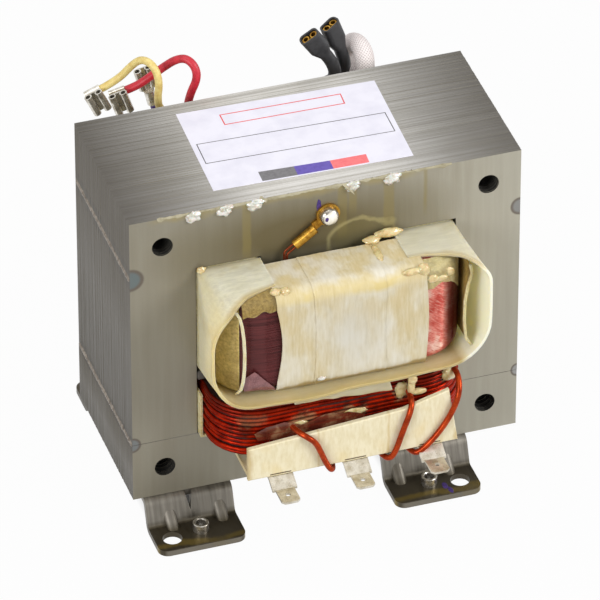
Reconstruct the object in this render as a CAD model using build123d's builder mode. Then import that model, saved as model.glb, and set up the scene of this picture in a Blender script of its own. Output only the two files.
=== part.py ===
"""High-voltage transformer of a microwave oven, in millimetres.

A welded E-I lamination stack stands on two bent steel rails. A primary and a
secondary coil share the middle leg, with magnetic shunts between them.

The origin is the centre of the four foot holes, on the plane that the feet stand
on. The coils' terminal side faces -Y and the lead wires leave behind, at +Y.
"""

import os
from math import radians, tan

from build123d import *

os.makedirs("parts", exist_ok=True)

# Lamination stack: a scrapless sheet, whose windows are as wide as its legs
core_width = 133.35
tongue_width = 44.45
leg_width = 22.225
window_height = 66.675
yoke_height = 22.225
i_height = 22.225
stack_depth = 60.0
core_hole_d = 7.1
core_hole_inset = 11.1
core_lift = 11.0
core_shift = 7.25
weld_r = 1.5
weld_sink = 0.9
lam_corner_r = 0.5

# Base rails
sheet_t = 2.0
rail_width = 30.0
rail_inset = 25.675
rail_bend_r = 2.5
riser_top_reach = 1.0
riser_foot_reach = 4.5
foot_reach = 19.0
foot_corner_r = 3.5
foot_hole_d = 6.5
foot_hole_shift = 9.0
foot_hole_reach = 12.5
nut_od = 5.4
nut_bore_d = 3.3
nut_height = 3.2
nut_shift = 1.3
nut_reach = 11.0
gusset_width = 4.4
gusset_leg = 5.8
gusset_round_r = 1.8
notch_width = 2.4
notch_height = 5.6
gusset_outer_offset = 7.0
gusset_inner_offset = 10.0

# Coils and their insulation
paper_gap = 0.3
liner_t = 0.8
collar_t = 0.8
wrap_t = 0.5
coil_front_gap = 3.5
coil_inner_r = 1.0
primary_rows = 12
primary_wire_d = 1.66
primary_reach = 20.0
primary_corner_r = 15.0
turn_chamfer_share = 0.29
shunt_height = 3.3
shunt_gap = 0.4
shunt_chamfer = 0.4
secondary_reach = 21.0
secondary_corner_r = 15.0
secondary_edge_r = 4.0
wrap_lap = 6.25
band_left_inset = 18.25
band_right_inset = 15.25
primary_liner_overhang = 3.0
primary_liner_lip = 4.0

# Paper collar round each end of the secondary coil
collar_reach = 25.0
collar_flare = 2.9
collar_root_r = 2.5
collar_rim_share = 0.39
flap_width_share = 0.4836
collar_mouth_drop = 2.0
flap_left_reach = 16.3
flap_left_share = 0.25
flap_right_reach = 14.7
flap_right_share = 0.35
flap_fall_share = 0.2
flap_cut_height = 15.0

# Terminal block, folded from thick board, and its three tabs
block_reach = 26.0
block_left_inset = 7.75
block_right_inset = 6.05
block_drop = 3.2
block_left_height = 12.6
block_knee_height = 16.6
block_right_height = 21.0
block_knee_x = 18.0
block_right_lean = 3.2
block_edge_r = 0.5
board_t = 1.6
board_depth = 20.0
packing_depth = 13.0
packing_inset = 6.0
tab_pitch_share = 0.3555
tab_middle_x = 1.5
tab_t = 0.8
tab_width = 6.35
tab_shoulder_width = 8.45
tab_seat = 3.0
tab_slant_length = 5.0
tab_slant_angle = 28.0
tab_blade_length = 7.3
tab_hole_d = 1.7
tab_hole_inset = 4.0
tab_tip_chamfer = 1.0

# Enamelled primary leads that cross the front of the terminal block
lead_d = 1.9
lead_gap = 0.15
lead_fold_r = 1.6
lead_tuck = 3.0
lead_left_top_shift = -18.5
lead_left_foot_shift = -10.5
lead_left_end_shift = -8.9
lead_left_rise = 1.6
lead_middle_top_shift = 17.1
lead_middle_foot_shift = 9.1
lead_middle_end_shift = 7.1
lead_middle_rise = 0.6
lead_right_top_shift = 6.0
lead_right_foot_shift = -6.2
lead_right_end_shift = -7.8
lead_right_rise = 0.4

# Earth screw and ring terminal on the front of the yoke
earth_screw_x = 0.4
earth_screw_rise = 11.8
screw_head_d = 6.2
screw_head_height = 2.6
screw_shank_d = 3.0
screw_shank_length = 8.0
screw_gap = 0.1
ring_od = 8.0
ring_t = 0.8
ring_neck_width = 3.0
ring_neck_length = 6.0
barrel_d = 3.4
barrel_length = 8.6
barrel_angle = 217.0
earth_wire_d = 0.8
earth_wire_pitch = 1.5
earth_wire_run = 4.0
earth_wire_dip = 6.0

# Push-on receptacles at the ends of the leads
receptacle_width = 6.4
receptacle_length = 7.8
receptacle_t = 0.45
receptacle_roll_r = 1.3
crimp_d = 3.6
crimp_length = 5.5
crimp_neck = 2.2
flag_crimp_shift = 1.6
boot_width = 7.0
boot_thickness = 4.2
boot_length = 7.2
boot_taper = 3.6
boot_corner_r = 1.7
boot_wall = 0.6
boot_pocket = 5.6
boot_receptacle_width = 5.6
boot_recess = 0.5
boot_neck_r = 1.9
boot_left_way = (1, 0, 0.2)
boot_right_way = (1, 0.45, 0.1)

overrun = 1.0
run_share = 0.45

# Routes of the lead wires, from the coil's top behind the core to their ends, measured from the
# middle of the core's width, its back and the top of the coil's paper band
red_d = 2.8
red_route = [
    (-16.75, 14, 0),
    (-16.75, 14, 5.5),
    (-24.6, 11.4, 12.6),
    (-24.4, 8.4, 20.5),
    (-22.2, 7, 27.2),
    (-22.75, 8, 31.6),
    (-25.05, 10.5, 33.6),
    (-27.85, 13.5, 31.6),
    (-31.3, 16, 27.6),
    (-35.8, 18, 23),
    (-39.6, 19, 20),
    (-43.2, 19.5, 18.8),
]
yellow_d = 2.6
yellow_route = [
    (-20.85, 10.5, 0),
    (-20.85, 10.5, 5),
    (-28.75, 11.5, 10),
    (-34.25, 11, 15),
    (-35.45, 8.8, 21),
    (-35.05, 8, 27),
    (-35.55, 9, 31.4),
    (-37.05, 11.5, 33.8),
    (-39.3, 14.5, 33.6),
    (-41.6, 17, 30.2),
    (-46, 18.6, 24.2),
    (-51.9, 19, 21.5),
]
spare_d = 2.4
spare_route = [
    (-11.25, 16, 0),
    (-11.25, 16, 4.5),
    (-16.25, 18.6, 7.1),
    (-21.6, 22, 6.1),
    (-27, 24.4, 3.6),
    (-31.3, 25, 4.2),
    (-32.2, 25, 7.8),
]
black_d = 4.4
black_left_route = [
    (12.25, 10.5, 0),
    (12.25, 10.5, 4.5),
    (19.35, 11, 8.8),
    (26.2, 11.6, 11.8),
    (27, 10.7, 19.2),
    (22.6, 9.7, 25.8),
]
black_right_route = [
    (12.25, 16, 0),
    (12.25, 16, 4.5),
    (18.75, 16.6, 7.5),
    (26.75, 16.6, 9),
    (31.2, 15.8, 12.5),
    (31.6, 15.3, 17.6),
    (29.5, 15, 23.4),
]
sleeve_d = 6.5
sleeve_route = [
    (19.15, 5.4, 0),
    (19.15, 5.4, 6.4),
    (25.6, 5.4, 9.6),
    (32, 6.6, 10.2),
    (36, 8.2, 13.4),
    (36.6, 9, 17.6),
    (37, 11.5, 21.4),
    (36.6, 16, 22.4),
    (36.1, 21, 20.4),
    (35.6, 24.2, 15.5),
    (36.7, 22.6, 10.6),
    (37.1, 14, 8.6),
    (37.1, 14, 1.1),
]

# Sizes worked out from the ones above, with heights from the core's underside
half_depth = stack_depth / 2
rail_pitch = core_width - 2 * rail_inset
window_width = (core_width - tongue_width) / 2 - leg_width
window_x = (tongue_width + window_width) / 2
window_top = i_height + window_height
window_middle = i_height + window_height / 2
core_height = window_top + yoke_height
hole_x = core_width / 2 - core_hole_inset
weld_x = core_width / 2 - weld_sink
slot_inner = tongue_width / 2 + paper_gap
slot_outer = core_width / 2 - leg_width - paper_gap
coil_inner_x = slot_inner + liner_t + paper_gap
coil_inner_y = half_depth + coil_front_gap

primary_bottom = i_height + paper_gap + liner_t + paper_gap
primary_top = primary_bottom + primary_rows * primary_wire_d
primary_outer_x = slot_outer - liner_t - paper_gap
primary_outer_y = half_depth + primary_reach
shunt_bottom = primary_top + shunt_gap
collar_bottom = shunt_bottom + shunt_height + paper_gap
collar_top = window_top - paper_gap
collar_middle = (collar_bottom + collar_top) / 2
collar_height = collar_top - collar_bottom
collar_rim_r = collar_rim_share * collar_height
collar_mouth_x = slot_outer - flap_width_share * slot_outer
band_bottom = collar_bottom + collar_t + paper_gap
band_top = collar_top - collar_t - paper_gap
secondary_bottom = band_bottom + wrap_t + paper_gap
secondary_top = band_top - wrap_t - paper_gap
secondary_height = secondary_top - secondary_bottom
secondary_outer_x = slot_outer - collar_t - paper_gap - wrap_t - paper_gap
secondary_outer_y = half_depth + secondary_reach
wrap_edge_x = secondary_outer_x - wrap_lap
band_left = secondary_outer_x - band_left_inset
band_right = secondary_outer_x - band_right_inset

block_front = half_depth + block_reach
block_bottom = i_height - block_drop
block_left = primary_outer_x - block_left_inset
block_right = primary_outer_x - block_right_inset
block_width = block_left + block_right
block_middle_x = (block_right - block_left) / 2
tab_pitch = tab_pitch_share * block_width

# Planes: the core's middle section seen from the front, and level planes above the core's underside
core_plane = Plane((core_shift, 0, core_lift), x_dir=(1, 0, 0), z_dir=(0, -1, 0))
front_face = core_plane.offset(half_depth)
side_plane = Plane((core_shift, 0, core_lift), x_dir=(0, 1, 0), z_dir=(1, 0, 0))


def level(height):
    """A level plane on the core's middle axis, at a height above the core's underside."""
    return Plane((core_shift, 0, core_lift + height))


def finish(piece, name):
    """Label a finished piece and write it."""
    piece.part.label = name
    export_step(piece.part, f"parts/{name}.step")


# E-shaped stack: yoke on top, three legs down, with bolt holes and weld grooves
with BuildPart() as e_core:
    with BuildSketch(core_plane):
        with Locations((0, (i_height + core_height) / 2)):
            Rectangle(core_width, core_height - i_height)
        fillet(vertices().group_by(Axis.Y)[-1], lam_corner_r)
        with Locations(*[(side * window_x, window_middle) for side in (-1, 1)]):
            Rectangle(window_width, window_height, mode=Mode.SUBTRACT)
        with Locations(*[(side * hole_x, core_height - core_hole_inset) for side in (-1, 1)]):
            Circle(core_hole_d / 2, mode=Mode.SUBTRACT)
        with Locations(*[(side * weld_x, height) for side in (-1, 1) for height in (i_height, window_top)]):
            Circle(weld_r, mode=Mode.SUBTRACT)
    extrude(amount=half_depth, both=True)
    with BuildSketch(front_face):
        with Locations((earth_screw_x, window_top + earth_screw_rise)):
            Circle(screw_shank_d / 2 + screw_gap)
    extrude(amount=-screw_shank_length - screw_gap, mode=Mode.SUBTRACT)
finish(e_core, "e_core")

# I-shaped stack that closes the magnetic circuit underneath
with BuildPart() as i_core:
    with BuildSketch(core_plane):
        with Locations((0, i_height / 2)):
            Rectangle(core_width, i_height)
        fillet(vertices().group_by(Axis.Y)[0], lam_corner_r)
        with Locations(*[(side * hole_x, core_hole_inset) for side in (-1, 1)]):
            Circle(core_hole_d / 2, mode=Mode.SUBTRACT)
        with Locations(*[(side * weld_x, i_height) for side in (-1, 1)]):
            Circle(weld_r, mode=Mode.SUBTRACT)
    extrude(amount=half_depth, both=True)
finish(i_core, "i_core")


def make_welds(name, side):
    """The two weld beads along one side of the stack."""
    with BuildPart() as welds:
        with BuildSketch(core_plane):
            with Locations((side * weld_x, i_height), (side * weld_x, window_top)):
                Circle(weld_r)
        extrude(amount=half_depth, both=True)
    finish(welds, name)


make_welds("weld_beads_left", -1)
make_welds("weld_beads_right", 1)


def pressed_rib(rib_x, end):
    """A rounded rib pressed into the bend between a foot and its riser."""
    corner_y = half_depth + riser_foot_reach
    with BuildPart() as rib:
        with BuildSketch(Plane.YZ.offset(rib_x)):
            with BuildLine():
                Polyline(
                    (end * (corner_y + gusset_leg), sheet_t / 2),
                    (end * corner_y, sheet_t / 2),
                    (end * (half_depth + riser_top_reach + sheet_t / 2), sheet_t + gusset_leg),
                    close=True,
                )
            make_face()
        extrude(amount=gusset_width / 2, both=True)
        fillet(rib.edges().sort_by(SortBy.LENGTH)[-2:], gusset_round_r)
    return rib.part


def make_rail(name, side):
    """A strip bent down and out at both ends into feet, which the core is welded on."""
    rail_x = side * rail_pitch / 2
    end_y = half_depth + foot_reach
    low = sheet_t / 2
    high = core_lift - sheet_t / 2
    middle_line = [
        (-end_y, low),
        (-half_depth - riser_foot_reach, low),
        (-half_depth - riser_top_reach, high),
        (half_depth + riser_top_reach, high),
        (half_depth + riser_foot_reach, low),
        (end_y, low),
    ]
    ribs = [
        pressed_rib(rail_x + offset_x, end)
        for end in (-1, 1)
        for offset_x in (side * gusset_outer_offset, -side * gusset_inner_offset)
    ]
    with BuildPart() as rail:
        with BuildSketch(Plane.YZ.offset(rail_x)):
            with BuildLine():
                FilletPolyline(*middle_line, radius=rail_bend_r)
            trace(line_width=sheet_t)
        extrude(amount=rail_width / 2, both=True)
        ends = rail.edges().filter_by(Axis.Z).group_by(Axis.Y)
        fillet(ends[0] + ends[-1], foot_corner_r)
        add(ribs)
        with BuildSketch(Plane.XY):
            for end in (-1, 1):
                with Locations((rail_x + side * foot_hole_shift, end * (half_depth + foot_hole_reach))):
                    Circle(foot_hole_d / 2)
                with Locations((rail_x - side * nut_shift, end * (half_depth + nut_reach))):
                    Circle(nut_bore_d / 2)
        extrude(amount=sheet_t + overrun, mode=Mode.SUBTRACT)
        with BuildSketch(Plane.XZ):
            with BuildLine():
                Polyline(
                    (rail_x - notch_width / 2, core_lift),
                    (rail_x + notch_width / 2, core_lift),
                    (rail_x, core_lift - notch_height),
                    close=True,
                )
            make_face()
        notch = extrude(amount=end_y, both=True, mode=Mode.PRIVATE)
        with BuildSketch(Plane.XY):
            Rectangle(2 * core_width, stack_depth)
        inner = extrude(amount=core_lift, mode=Mode.PRIVATE)
        add(notch - inner, mode=Mode.SUBTRACT)
    finish(rail, name)


make_rail("base_rail_left", -1)
make_rail("base_rail_right", 1)


def make_foot_nuts(name, side):
    """The round threaded bosses on the front and back foot of one rail."""
    nut_x = side * (rail_pitch / 2 - nut_shift)
    with BuildPart() as nuts:
        with BuildSketch(Plane.XY.offset(sheet_t)):
            with Locations(*[(nut_x, end * (half_depth + nut_reach)) for end in (-1, 1)]):
                Circle(nut_od / 2)
                Circle(nut_bore_d / 2, mode=Mode.SUBTRACT)
        extrude(amount=nut_height)
        chamfer(nuts.faces().sort_by(Axis.Z)[-2:].edges(), (nut_od - nut_bore_d) / 8)
    finish(nuts, name)


make_foot_nuts("foot_nuts_left", -1)
make_foot_nuts("foot_nuts_right", 1)

# Primary coil: rows of thick wire, each row a rounded ring round the tongue
with BuildPart() as turn_row:
    with BuildSketch(level(primary_bottom)):
        RectangleRounded(2 * primary_outer_x, 2 * primary_outer_y, primary_corner_r)
        RectangleRounded(2 * coil_inner_x, 2 * coil_inner_y, coil_inner_r, mode=Mode.SUBTRACT)
    extrude(amount=primary_wire_d)
    row_faces = turn_row.faces().sort_by(Axis.Z)
    outer_edges = row_faces[0].outer_wire().edges() + row_faces[-1].outer_wire().edges()
    chamfer(outer_edges, turn_chamfer_share * primary_wire_d)
with BuildPart() as primary_coil:
    with Locations(*[(0, 0, row * primary_wire_d) for row in range(primary_rows)]):
        add(turn_row.part)
finish(primary_coil, "primary_coil")

# Secondary coil: one thick ring of fine wire
with BuildPart() as secondary_coil:
    with BuildSketch(level(secondary_bottom)):
        RectangleRounded(2 * secondary_outer_x, 2 * secondary_outer_y, secondary_corner_r)
    extrude(amount=secondary_height)
    coil_faces = secondary_coil.faces().sort_by(Axis.Z)
    fillet(coil_faces[0].edges() + coil_faces[-1].edges(), secondary_edge_r)
    with BuildSketch(level(secondary_bottom)):
        RectangleRounded(2 * coil_inner_x, 2 * coil_inner_y, coil_inner_r)
    extrude(amount=secondary_height, mode=Mode.SUBTRACT)
finish(secondary_coil, "secondary_coil")


def make_shunt(name, side):
    """A pack of steel strips that bridges one window between the coils."""
    with BuildPart() as shunt:
        with BuildSketch(core_plane):
            with Locations((side * window_x, shunt_bottom + shunt_height / 2)):
                Rectangle(slot_outer - slot_inner, shunt_height)
            chamfer(vertices(), shunt_chamfer)
        extrude(amount=half_depth, both=True)
    finish(shunt, name)


make_shunt("shunt_left", -1)
make_shunt("shunt_right", 1)


def make_primary_liner(name, side):
    """A paper trough that lines one window under and beside the primary coil."""
    low = i_height + paper_gap
    high = primary_top - primary_liner_lip
    with BuildPart() as liner:
        with BuildSketch(core_plane):
            with Locations((side * window_x, (low + high) / 2)):
                Rectangle(slot_outer - slot_inner, high - low)
            with Locations((side * window_x, (low + high) / 2 + liner_t)):
                Rectangle(slot_outer - slot_inner - 2 * liner_t, high - low, mode=Mode.SUBTRACT)
        extrude(amount=half_depth + primary_liner_overhang, both=True)
    finish(liner, name)


make_primary_liner("primary_liner_left", -1)
make_primary_liner("primary_liner_right", 1)


def make_secondary_liner(name, side):
    """A paper tube that lines one window round the secondary coil."""
    width = slot_outer - slot_inner
    with BuildPart() as liner:
        with BuildSketch(core_plane):
            with Locations((side * window_x, collar_middle)):
                RectangleRounded(width, collar_height, collar_root_r)
                RectangleRounded(
                    width - 2 * collar_t,
                    collar_height - 2 * collar_t,
                    collar_root_r - collar_t,
                    mode=Mode.SUBTRACT,
                )
        extrude(amount=half_depth, both=True)
    finish(liner, name)


make_secondary_liner("secondary_liner_left", -1)
make_secondary_liner("secondary_liner_right", 1)

# Front collar: a paper funnel from the windows' outline to a wide stadium-shaped rim
with BuildPart() as collar_front:
    for inset, cut in ((0, Mode.ADD), (collar_t, Mode.SUBTRACT)):
        with BuildSketch(front_face):
            with Locations((0, collar_middle)):
                RectangleRounded(2 * slot_outer - 2 * inset, collar_height - 2 * inset, collar_root_r - inset)
        with BuildSketch(front_face.offset(collar_reach)):
            with Locations((0, collar_middle)):
                RectangleRounded(
                    2 * slot_outer + 2 * collar_flare - 2 * inset,
                    collar_height - 2 * inset,
                    collar_rim_r - inset,
                )
        loft(mode=cut)
    with BuildSketch(front_face):
        with Locations((0, collar_top)):
            Rectangle(2 * collar_mouth_x, 2 * collar_mouth_drop)
    extrude(amount=collar_reach, mode=Mode.SUBTRACT)
    for side, reach, share in (
        (-1, flap_left_reach, flap_left_share),
        (1, flap_right_reach, flap_right_share),
    ):
        edge = (core_shift + side * collar_mouth_x, -half_depth - reach, core_lift + collar_top)
        flap_edge = Plane(edge, x_dir=(1, -side * share, 0), z_dir=(-side * share, -1, flap_fall_share))
        with BuildSketch(flap_edge):
            with Locations((side * core_width / 2, 0)):
                Rectangle(core_width, 2 * flap_cut_height)
        extrude(amount=collar_reach, mode=Mode.SUBTRACT)
finish(collar_front, "collar_front")

# Back collar: the same funnel on the other side of the stack
with BuildPart() as collar_back:
    add(collar_front.part)
    mirror(about=Plane.XZ, mode=Mode.REPLACE)
finish(collar_back, "collar_back")


def coil_skin(offset_out):
    """The outside of the secondary coil, grown outwards by a distance."""
    with BuildPart() as skin:
        with BuildSketch(level(secondary_bottom - offset_out)):
            RectangleRounded(
                2 * (secondary_outer_x + offset_out),
                2 * (secondary_outer_y + offset_out),
                secondary_corner_r + offset_out,
            )
        extrude(amount=secondary_height + 2 * offset_out)
        skin_faces = skin.faces().sort_by(Axis.Z)
        fillet(skin_faces[0].edges() + skin_faces[-1].edges(), secondary_edge_r + offset_out)
    return skin.part


outer_skin = coil_skin(paper_gap + wrap_t)
inner_skin = coil_skin(paper_gap)


def make_wrap(name, side):
    """A paper wrap over one side of the secondary coil, whose free edges show inside the collars."""
    with BuildPart() as wrap:
        add(outer_skin)
        add(inner_skin, mode=Mode.SUBTRACT)
        with BuildSketch(level(secondary_bottom)):
            with Locations((side * (wrap_edge_x + core_width / 2), 0)):
                Rectangle(core_width, 2 * secondary_outer_y + core_width)
        extrude(amount=secondary_height, mode=Mode.INTERSECT)
    finish(wrap, name)


make_wrap("coil_wrap_left", -1)
make_wrap("coil_wrap_right", 1)

# Front band: paper tape round the end of the secondary coil
with BuildPart() as band_front:
    with BuildSketch(side_plane):
        band_outer = secondary_outer_y + paper_gap + wrap_t
        band_depth = band_outer - coil_inner_y
        with Locations((-band_outer + band_depth / 2, (band_bottom + band_top) / 2)):
            Rectangle(band_depth, band_top - band_bottom)
        fillet(vertices().group_by(Axis.X)[0], secondary_edge_r + paper_gap + wrap_t)
        with BuildSketch(mode=Mode.PRIVATE) as band_room:
            with Locations((-band_outer + band_depth / 2 + wrap_t, (band_bottom + band_top) / 2)):
                Rectangle(band_depth, band_top - band_bottom - 2 * wrap_t)
            fillet(vertices().group_by(Axis.X)[0], secondary_edge_r + paper_gap)
        add(band_room.sketch, mode=Mode.SUBTRACT)
    extrude(amount=band_right)
    extrude(band_front.faces().sort_by(Axis.X)[0], amount=band_left)
finish(band_front, "tape_band_front")

# Back band
with BuildPart() as band_back:
    add(band_front.part)
    mirror(about=Plane.XZ, mode=Mode.REPLACE)
finish(band_back, "tape_band_back")

# Terminal block: a folded board with a front panel that is taller at its right end, a panel under the
# coil, and a packing strip that carries the coil
with BuildPart() as terminal_block:
    with BuildSketch(core_plane.offset(block_front - board_t)):
        with BuildLine():
            Polyline(
                (-block_left, block_bottom),
                (block_right, block_bottom),
                (block_right - block_right_lean, block_bottom + block_right_height),
                (block_knee_x, block_bottom + block_knee_height),
                (-block_left, block_bottom + block_left_height),
                close=True,
            )
        make_face()
    extrude(amount=board_t)
    fillet(terminal_block.faces().sort_by(Axis.Y)[0].edges(), block_edge_r)
    with BuildSketch(level(block_bottom)):
        with Locations((block_middle_x, -block_front + (board_t + board_depth) / 2)):
            Rectangle(block_width - 2 * block_edge_r, board_depth - board_t)
    extrude(amount=board_t)
    with BuildSketch(level(block_bottom + board_t)):
        with Locations((block_middle_x, -block_front + board_depth - packing_depth / 2)):
            Rectangle(block_width - 2 * packing_inset, packing_depth)
    extrude(amount=primary_bottom - paper_gap - block_bottom - board_t)
finish(terminal_block, "terminal_block")


def make_tab(name, x):
    """A bent push-on tab, seated under the terminal block."""
    shoulder_y = block_front
    with BuildPart() as tab:
        with BuildSketch(side_plane.offset(x)):
            with BuildLine():
                seat = Line(
                    (-shoulder_y + tab_seat, block_bottom - tab_t / 2),
                    (-shoulder_y, block_bottom - tab_t / 2),
                )
                slope = PolarLine(seat @ 1, tab_slant_length, 180 + tab_slant_angle)
                PolarLine(slope @ 1, tab_blade_length, 180)
            trace(line_width=tab_t)
        extrude(amount=tab_shoulder_width / 2, both=True)
        tip = tab.faces().sort_by(Axis.Y)[0].center()
        blade_root = tip.Y + tab_blade_length
        side_cut = (tab_shoulder_width - tab_width) / 2
        with BuildSketch(Plane((core_shift + x, 0, core_lift))):
            for side in (-1, 1):
                with Locations((side * (tab_width + side_cut) / 2, tip.Y + tab_blade_length / 2)):
                    Rectangle(side_cut, tab_blade_length)
            with Locations((0, tip.Y + tab_hole_inset)):
                Circle(tab_hole_d / 2)
        extrude(amount=block_bottom, mode=Mode.SUBTRACT)
        chamfer(tab.edges().filter_by(Axis.Z).group_by(Axis.Y)[0], tab_tip_chamfer)
    finish(tab, name)


make_tab("tab_left", tab_middle_x - tab_pitch)
make_tab("tab_middle", tab_middle_x)
make_tab("tab_right", tab_middle_x + tab_pitch)


def wire_part(route, diameter, radii):
    """A round wire along straight runs joined by tangent arcs."""
    with BuildPart() as wire:
        with BuildLine() as path:
            FilletPolyline(*route, radius=radii)
        with BuildSketch(Plane(path.line @ 0, z_dir=path.line % 0)):
            Circle(diameter / 2)
        sweep()
    return wire


def make_primary_lead(name, tab_x, top_shift, foot_shift, end_shift, top_height):
    """An enamelled lead from the coil over the block's front and in under its lower edge, beside a tab."""
    over_y = block_front + lead_gap + lead_d / 2
    under_z = core_lift + block_bottom - lead_gap - lead_d / 2
    top_z = core_lift + block_bottom + top_height
    middle_x = core_shift + tab_x
    route = [
        (middle_x + top_shift, -primary_outer_y - lead_gap, top_z + lead_d),
        (middle_x + top_shift, -over_y, top_z + lead_d),
        (middle_x + foot_shift, -over_y, under_z),
        (middle_x + end_shift, -over_y + lead_tuck, under_z),
    ]
    finish(wire_part(route, lead_d, lead_fold_r), name)


make_primary_lead(
    "primary_lead_left",
    tab_middle_x,
    lead_left_top_shift,
    lead_left_foot_shift,
    lead_left_end_shift,
    block_left_height + lead_left_rise,
)
make_primary_lead(
    "primary_lead_middle",
    tab_middle_x,
    lead_middle_top_shift,
    lead_middle_foot_shift,
    lead_middle_end_shift,
    block_knee_height + lead_middle_rise,
)
make_primary_lead(
    "primary_lead_right",
    tab_middle_x + tab_pitch,
    lead_right_top_shift,
    lead_right_foot_shift,
    lead_right_end_shift,
    block_right_height + lead_right_rise,
)

# Earth screw, its ring terminal and the coil's two thin wires
earth_z = window_top + earth_screw_rise
with BuildPart() as earth_screw:
    with BuildSketch(front_face.offset(ring_t)):
        with Locations((earth_screw_x, earth_z)):
            Circle(screw_head_d / 2)
    extrude(amount=screw_head_height)
    fillet(earth_screw.faces().sort_by(Axis.Y)[0].edges(), screw_head_height / 2)
    with BuildSketch(front_face.offset(ring_t)):
        with Locations((earth_screw_x, earth_z)):
            Circle(screw_shank_d / 2)
    extrude(amount=-ring_t - screw_shank_length)
finish(earth_screw, "earth_screw")

barrel_way = Vector(1, 0, 0).rotate(Axis.Y, -barrel_angle)
barrel_root = front_face.from_local_coords(
    Vector(earth_screw_x, earth_z, barrel_d / 2)
) + barrel_way * ring_neck_length
barrel_end = barrel_root + barrel_way * barrel_length
with BuildPart() as ring_terminal:
    with BuildSketch(front_face):
        with Locations((earth_screw_x, earth_z)):
            Circle(ring_od / 2)
            with Locations(Rotation(0, 0, barrel_angle)):
                Rectangle(ring_neck_length, ring_neck_width, align=(Align.MIN, Align.CENTER))
            Circle(screw_shank_d / 2 + screw_gap, mode=Mode.SUBTRACT)
    extrude(amount=ring_t)
    with BuildSketch(Plane(barrel_root, z_dir=barrel_way)):
        Circle(barrel_d / 2)
    extrude(amount=barrel_length)
finish(ring_terminal, "ring_terminal")

earth_side = barrel_way.cross(Vector(0, 1, 0))
with BuildPart() as earth_lead:
    for side in (-1, 1):
        earth_start = barrel_end + earth_side * (side * earth_wire_pitch / 2)
        earth_turn = earth_start + barrel_way * earth_wire_run
        earth_tail = earth_turn - Vector(0, 0, earth_wire_dip)
        with BuildLine() as earth_path:
            FilletPolyline(earth_start, earth_turn, earth_tail, radius=earth_wire_run / 2)
        with BuildSketch(Plane(earth_start, z_dir=barrel_way)):
            Circle(earth_wire_d / 2)
        sweep(path=earth_path.line)
finish(earth_lead, "earth_lead")


def bend_radii(route):
    """Radius at each corner of a route, as large as its two runs allow."""
    radii = []
    for before, corner, after in zip(route, route[1:], route[2:]):
        half_turn = radians((corner - before).get_angle(after - corner)) / 2
        shorter = min((corner - before).length, (after - corner).length)
        radii.append(run_share * shorter / tan(half_turn))
    return radii


def make_cord(name, route, diameter):
    """A free lead wire behind the core."""
    radii = bend_radii(route)
    print(name, "radii", [round(radius, 1) for radius in radii])
    finish(wire_part(route, diameter, radii), name)


def placed(route):
    """A route's points in the part's frame."""
    lead_origin = Vector(core_shift, half_depth, core_lift + band_top)
    return [lead_origin + Vector(*point) for point in route]


red_path = placed(red_route)
yellow_path = placed(yellow_route)
spare_path = placed(spare_route)
black_left_path = placed(black_left_route)
black_right_path = placed(black_right_route)
make_cord("red_lead", red_path, red_d)
make_cord("yellow_lead", yellow_path, yellow_d)
make_cord("spare_lead", spare_path, spare_d)
make_cord("black_lead_left", black_left_path, black_d)
make_cord("black_lead_right", black_right_path, black_d)
make_cord("white_sleeve", placed(sleeve_route), sleeve_d)


def end_way(route):
    """Direction in which a route ends."""
    return (route[-1] - route[-2]).normalized()


def receptacle_profile(width, shift_x, shift_y):
    """Section of a push-on receptacle: a flat strip with both edges rolled in."""
    roll_x = width / 2 - receptacle_roll_r
    roll_y = shift_y - receptacle_t + receptacle_roll_r
    with Locations((shift_x, shift_y - receptacle_t / 2)):
        Rectangle(width - 2 * receptacle_roll_r, receptacle_t)
    with Locations((shift_x - roll_x, roll_y), (shift_x + roll_x, roll_y)):
        Circle(receptacle_roll_r)
        Circle(receptacle_roll_r - receptacle_t, mode=Mode.SUBTRACT)


def make_flag_receptacle(name, route):
    """A receptacle whose crimp lies across its back, in line with the wire's end."""
    way = end_way(route)
    up = (Vector(0, 0, 1) - way * way.Z).normalized()
    seat = Plane(route[-1], x_dir=way, z_dir=up)
    with BuildPart() as receptacle:
        with BuildSketch(seat.offset(flag_crimp_shift - receptacle_length)):
            receptacle_profile(receptacle_width, crimp_length / 2, (crimp_d + receptacle_t) / 2)
        extrude(amount=receptacle_length)
        with BuildSketch(Plane(route[-1], x_dir=up, z_dir=way)):
            Circle(crimp_d / 2)
        extrude(amount=crimp_length)
    finish(receptacle, name)


make_flag_receptacle("red_receptacle", red_path)
make_flag_receptacle("yellow_receptacle", yellow_path)

# Spare receptacle: upright, with its crimp in line below it
spare_way = end_way(spare_path)
spare_seat = Plane(spare_path[-1], x_dir=(-1, 0, 0), z_dir=spare_way)
with BuildPart() as spare_receptacle:
    with BuildSketch(spare_seat):
        Circle(crimp_d / 2)
    extrude(amount=crimp_length)
    with BuildSketch(spare_seat.offset(crimp_length)):
        with Locations((0, receptacle_t / 2)):
            Rectangle(crimp_d, receptacle_t)
    extrude(amount=crimp_neck)
    with BuildSketch(spare_seat.offset(crimp_length + crimp_neck)):
        receptacle_profile(receptacle_width, 0, receptacle_t)
    extrude(amount=receptacle_length)
finish(spare_receptacle, "spare_receptacle")


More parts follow.
